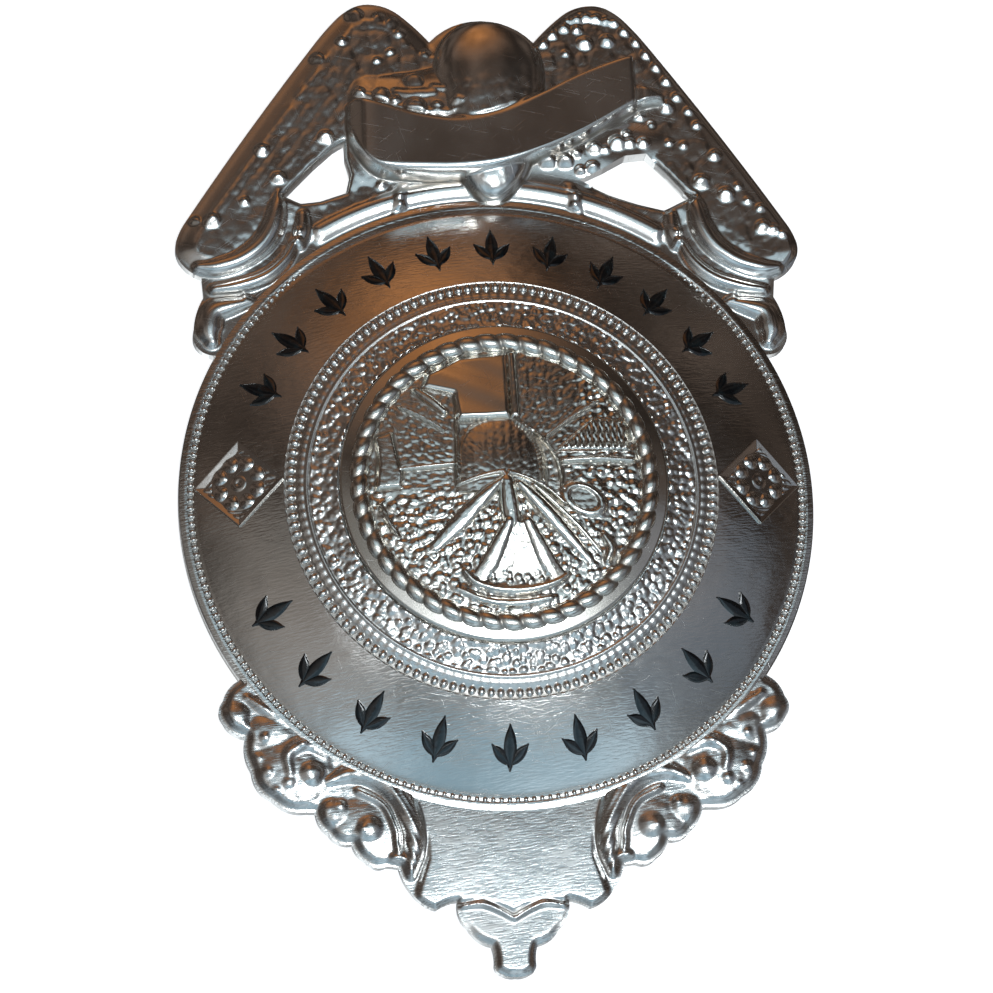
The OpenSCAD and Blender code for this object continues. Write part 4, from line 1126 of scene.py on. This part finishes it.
def rope_ring():
    """Rope round the seal: a tube whose section swells with each strand, the strands running aslant."""
    columns, around = ROPE_TURNS * 22, 14
    angle = np.linspace(0, 2 * np.pi, columns, endpoint=False)[None, :]
    section = np.linspace(0, 2 * np.pi, around, endpoint=False)[:, None]
    strand = np.abs(np.cos((angle * ROPE_TURNS + 0.9 * section) / 2))
    size = 0.42 + 0.22 * strand ** 0.5
    r = ROPE_R + 1.05 * size * np.cos(section)
    z = SEAL_LOW[2] + ground_z(ROPE_R) + 0.16 + 0.75 * size * np.sin(section)
    points = np.stack([r * np.cos(angle), r * np.sin(angle), z], -1).reshape(-1, 3)
    faces = lattice(around, columns, wrap=True)
    last = (around - 1) * columns
    j = np.arange(columns)
    seam = np.stack([last + j, last + np.roll(j, -1), np.roll(j, -1), j], 1)
    # Painted shade between the strands: darker where a strand is thin
    hollow = np.clip((0.85 - strand) * 1.1, 0, 1).ravel()
    return put("rope_ring", points, [faces[:, ::-1], seam[:, ::-1]], SEAL_METAL, hollow,
               "centre_seal", crease=180)


# Enamelled marks

# Leaves of a mark, as shares of its height: start, turn in degrees, length, width
LEAVES = [(0.0, 0.0, 1.0, 0.3), (0.12, 42.0, 0.62, 0.24), (0.12, -42.0, 0.62, 0.24)]


def palmettes(name, replaced, mid, arc, count, outward):
    """Row of marks of three leaves: a leaf's half width is a lens along its length and its face is slightly
    domed across, for all leaves of all marks at once, laid on the field."""
    n, m = 16, 9
    along = np.linspace(0, 1, n)[:, None]
    across = np.linspace(-1, 1, m)[None, :]
    parts = []
    for start, turn, length, width in LEAVES:
        lens = np.maximum(width / 2 * 4 * along * (1 - along), 0.02)
        x, y = along * length, across * lens
        c, s = math.cos(math.radians(turn)), math.sin(math.radians(turn))
        parts.append(np.stack([start + x * c - y * s, x * s + y * c, 1 - across**2 + 0 * along], -1))
    leaf = np.array(parts)
    local = np.stack([(leaf[..., 0] - 0.5) * MARK_H * outward, leaf[..., 1] * MARK_H * outward], -1)
    rise = 0.03 + 0.11 * leaf[..., 2]
    angle = np.radians(mid - arc / 2 + arc * np.arange(count) / (count - 1))[:, None, None, None]
    r = MARK_R + local[None, ..., 0]
    x = r * np.cos(angle) - local[None, ..., 1] * np.sin(angle)
    y = r * np.sin(angle) + local[None, ..., 1] * np.cos(angle)
    top = np.stack([x, y, field_z(np.hypot(x, y)) + rise[None]], -1)
    under = np.stack([x, y, field_z(np.hypot(x, y)) - 0.15], -1)
    top, under = top.reshape(-1, n * m, 3), under.reshape(-1, n * m, 3)
    copies = len(top)
    points = np.concatenate([top, under], axis=1).reshape(-1, 3)
    one = slab(n, m)[:, ::-1]
    faces = (one[None] + (np.arange(copies) * 2 * n * m)[:, None, None]).reshape(-1, 4)
    return put(name, points, [faces], ENAMEL, replaced=replaced, crease=60)


# Camera, lights and floor

def look():
    """Camera at the photograph's angle and distance, with its small roll and shift."""
    azimuth, elevation, roll = (math.radians(v) for v in (CAMERA_AZIMUTH, CAMERA_ELEVATION, CAMERA_ROLL))
    back = np.array([math.sin(azimuth) * math.cos(elevation), -math.cos(azimuth) * math.cos(elevation),
                     math.sin(elevation)])
    right = np.cross((0, 1, 0), back)
    right /= np.linalg.norm(right)
    up = np.cross(back, right)
    across = math.cos(roll) * right + math.sin(roll) * up
    upward = -math.sin(roll) * right + math.cos(roll) * up
    camera = bpy.data.objects.new("camera", bpy.data.cameras.new("camera"))
    camera.data.sensor_width = SENSOR_W
    camera.data.lens = FOCAL_PX / IMAGE_SIDE * SENSOR_W
    camera.data.shift_x = -CENTRE_SHIFT[0] / IMAGE_SIDE
    camera.data.shift_y = CENTRE_SHIFT[1] / IMAGE_SIDE
    camera.data.clip_start = 0.01
    place = Matrix.Identity(4)
    for i in range(3):
        place[i][0], place[i][1], place[i][2] = across[i], upward[i], back[i]
        place[i][3] = back[i] * CAMERA_D * MM
    camera.matrix_world = place
    bpy.context.scene.collection.objects.link(camera)
    bpy.context.scene.camera = camera


def panel(name, low, high, height, glow):
    """Flat soft panel that faces down at a height over a rectangle of the plan, in millimetres. Its power
    is its radiance, glow, times pi times its area."""
    light = bpy.data.lights.new(name, "AREA")
    light.shape = "RECTANGLE"
    size = (np.array(high) - low) * MM
    light.size, light.size_y = size
    strength = max(glow)
    light.energy = strength * math.pi * size[0] * size[1]
    light.color = [part / strength for part in glow]
    lit = bpy.data.objects.new(name, light)
    middle = (np.array(high) + low) / 2 * MM
    lit.matrix_world = Matrix.Translation((*middle, height * MM))
    lit.visible_camera = False
    bpy.context.scene.collection.objects.link(lit)
    return lit


# Soft panels: name, two corners of the plan and height in millimetres, radiance
SOFT_PANELS = [
    ("tail_panel", (-60, -28), (95, 50), 200, (0.36, 0.50, 0.58)),
    ("bright_panel", (-95, -66), (100, -28), 200, (0.95, 1.03, 1.08)),
    ("low_middle_panel", (-60, -132), (120, -66), 200, (0.15, 0.17, 0.18)),
    ("low_panel", (-150, -300), (170, -132), 200, (0.19, 0.31, 0.39)),
    ("left_panel", (-260, -132), (-60, 60), 200, (0.11, 0.11, 0.105)),
    ("right_panel", (120, -132), (330, 50), 200, (0.10, 0.125, 0.155)),
    ("flash", (-10, -66), (60, -22), 199, (8.0, 8.5, 8.8)),
]
# Glows of the room: direction, how narrow, colour
GLOWS = [
    ((-0.08, 0.77, 0.63), 32.0, (0.36, 0.15, 0.05)),
    ((0.0, -0.99, 0.1), 2.0, (0.30, 0.37, 0.42)),
    ((-0.15, -0.35, -0.92), 6.0, (0.8, 0.86, 0.9)),
]
ROOM_COLOUR = (0.050, 0.038, 0.031)
CARD_HALF = 1.5


def light_up():
    """Cool soft panels over the badge, a small bright flash beside the camera, and a dim brown room with an
    orange glow behind it, a cool one in front and a pale one from the floor. A glow's share is the cosine
    to its direction to a power."""
    for row in SOFT_PANELS:
        panel(*row)
    world = bpy.data.worlds.new("dim_room")
    bpy.context.scene.world = world
    world.use_nodes = True
    room = Nodes(world.node_tree, "Generated")
    colour = ROOM_COLOUR
    for towards, narrow, glow in GLOWS:
        near = room.node("ShaderNodeVectorMath", {"operation": "DOT_PRODUCT"}, {0: room.place, 1: towards})
        share = Value(room, near.outputs["Value"]).clamped() ** narrow
        colour = room.mix(share, colour, glow)
    strength = 0.35 + 1.9 * room.step(room.noise(room.place, 3.2, 1.5), 0.33, 0.72)
    background = world.node_tree.nodes["Background"]
    room.wire(background.inputs["Color"], colour)
    room.wire(background.inputs["Strength"], strength)


def floor():
    """Pale card that the badge lies on, CARD_HALF metres from its middle to each side."""
    mesh = bpy.data.meshes.new("pale_card")
    corners = [(x * CARD_HALF, y * CARD_HALF, 0) for x, y in ((-1, -1), (1, -1), (1, 1), (-1, 1))]
    mesh.from_pydata(corners, [], [(0, 1, 2, 3)])
    mesh.materials.append(card_finish("pale_card"))
    card = bpy.data.objects.new("pale_card", mesh)
    bpy.context.scene.collection.objects.link(card)
    card.visible_glossy = False


# The whole badge

look()
light_up()
floor()
bpy.context.scene.view_settings.view_transform = "Standard"

round_field()
inner_border()
beads("inner_beads", RING_R, INNER_BEADS, INNER_BEAD, field_z(RING_R) - 0.02)
beads("outer_beads", OUTER_BEADS_R, OUTER_BEADS, OUTER_BEAD, BORDER_Z - 0.04, OUTER_BEADS_SINK)
lozenge("lozenge_left", -1)
lozenge("lozenge_right", 1)
struck("eagle_crest", crest_room, crest_height, (-CREST_W - 0.5, CREST_H * 0.26),
       (CREST_W + 0.5, CREST_H + 0.6), CREST_PITCH, PLATE, soft=2)
struck("bottom_scrolls", foot_room, foot_height, (-FOOT_W - 0.5, -FOOT_H - 0.5),
       (FOOT_W + 0.5, -FOOT_H * 0.33), FOOT_PITCH, BRUSHED_PLATE, soft=5)
seal_face()
rope_ring()
palmettes("palmettes_upper", "enamel_upper", 90, UPPER_ARC, UPPER_MARKS, 1)
palmettes("palmettes_lower", "enamel_lower", 270, LOWER_ARC, LOWER_MARKS, -1)

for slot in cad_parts["pin_back"].material_slots:
    slot.material = WIRE
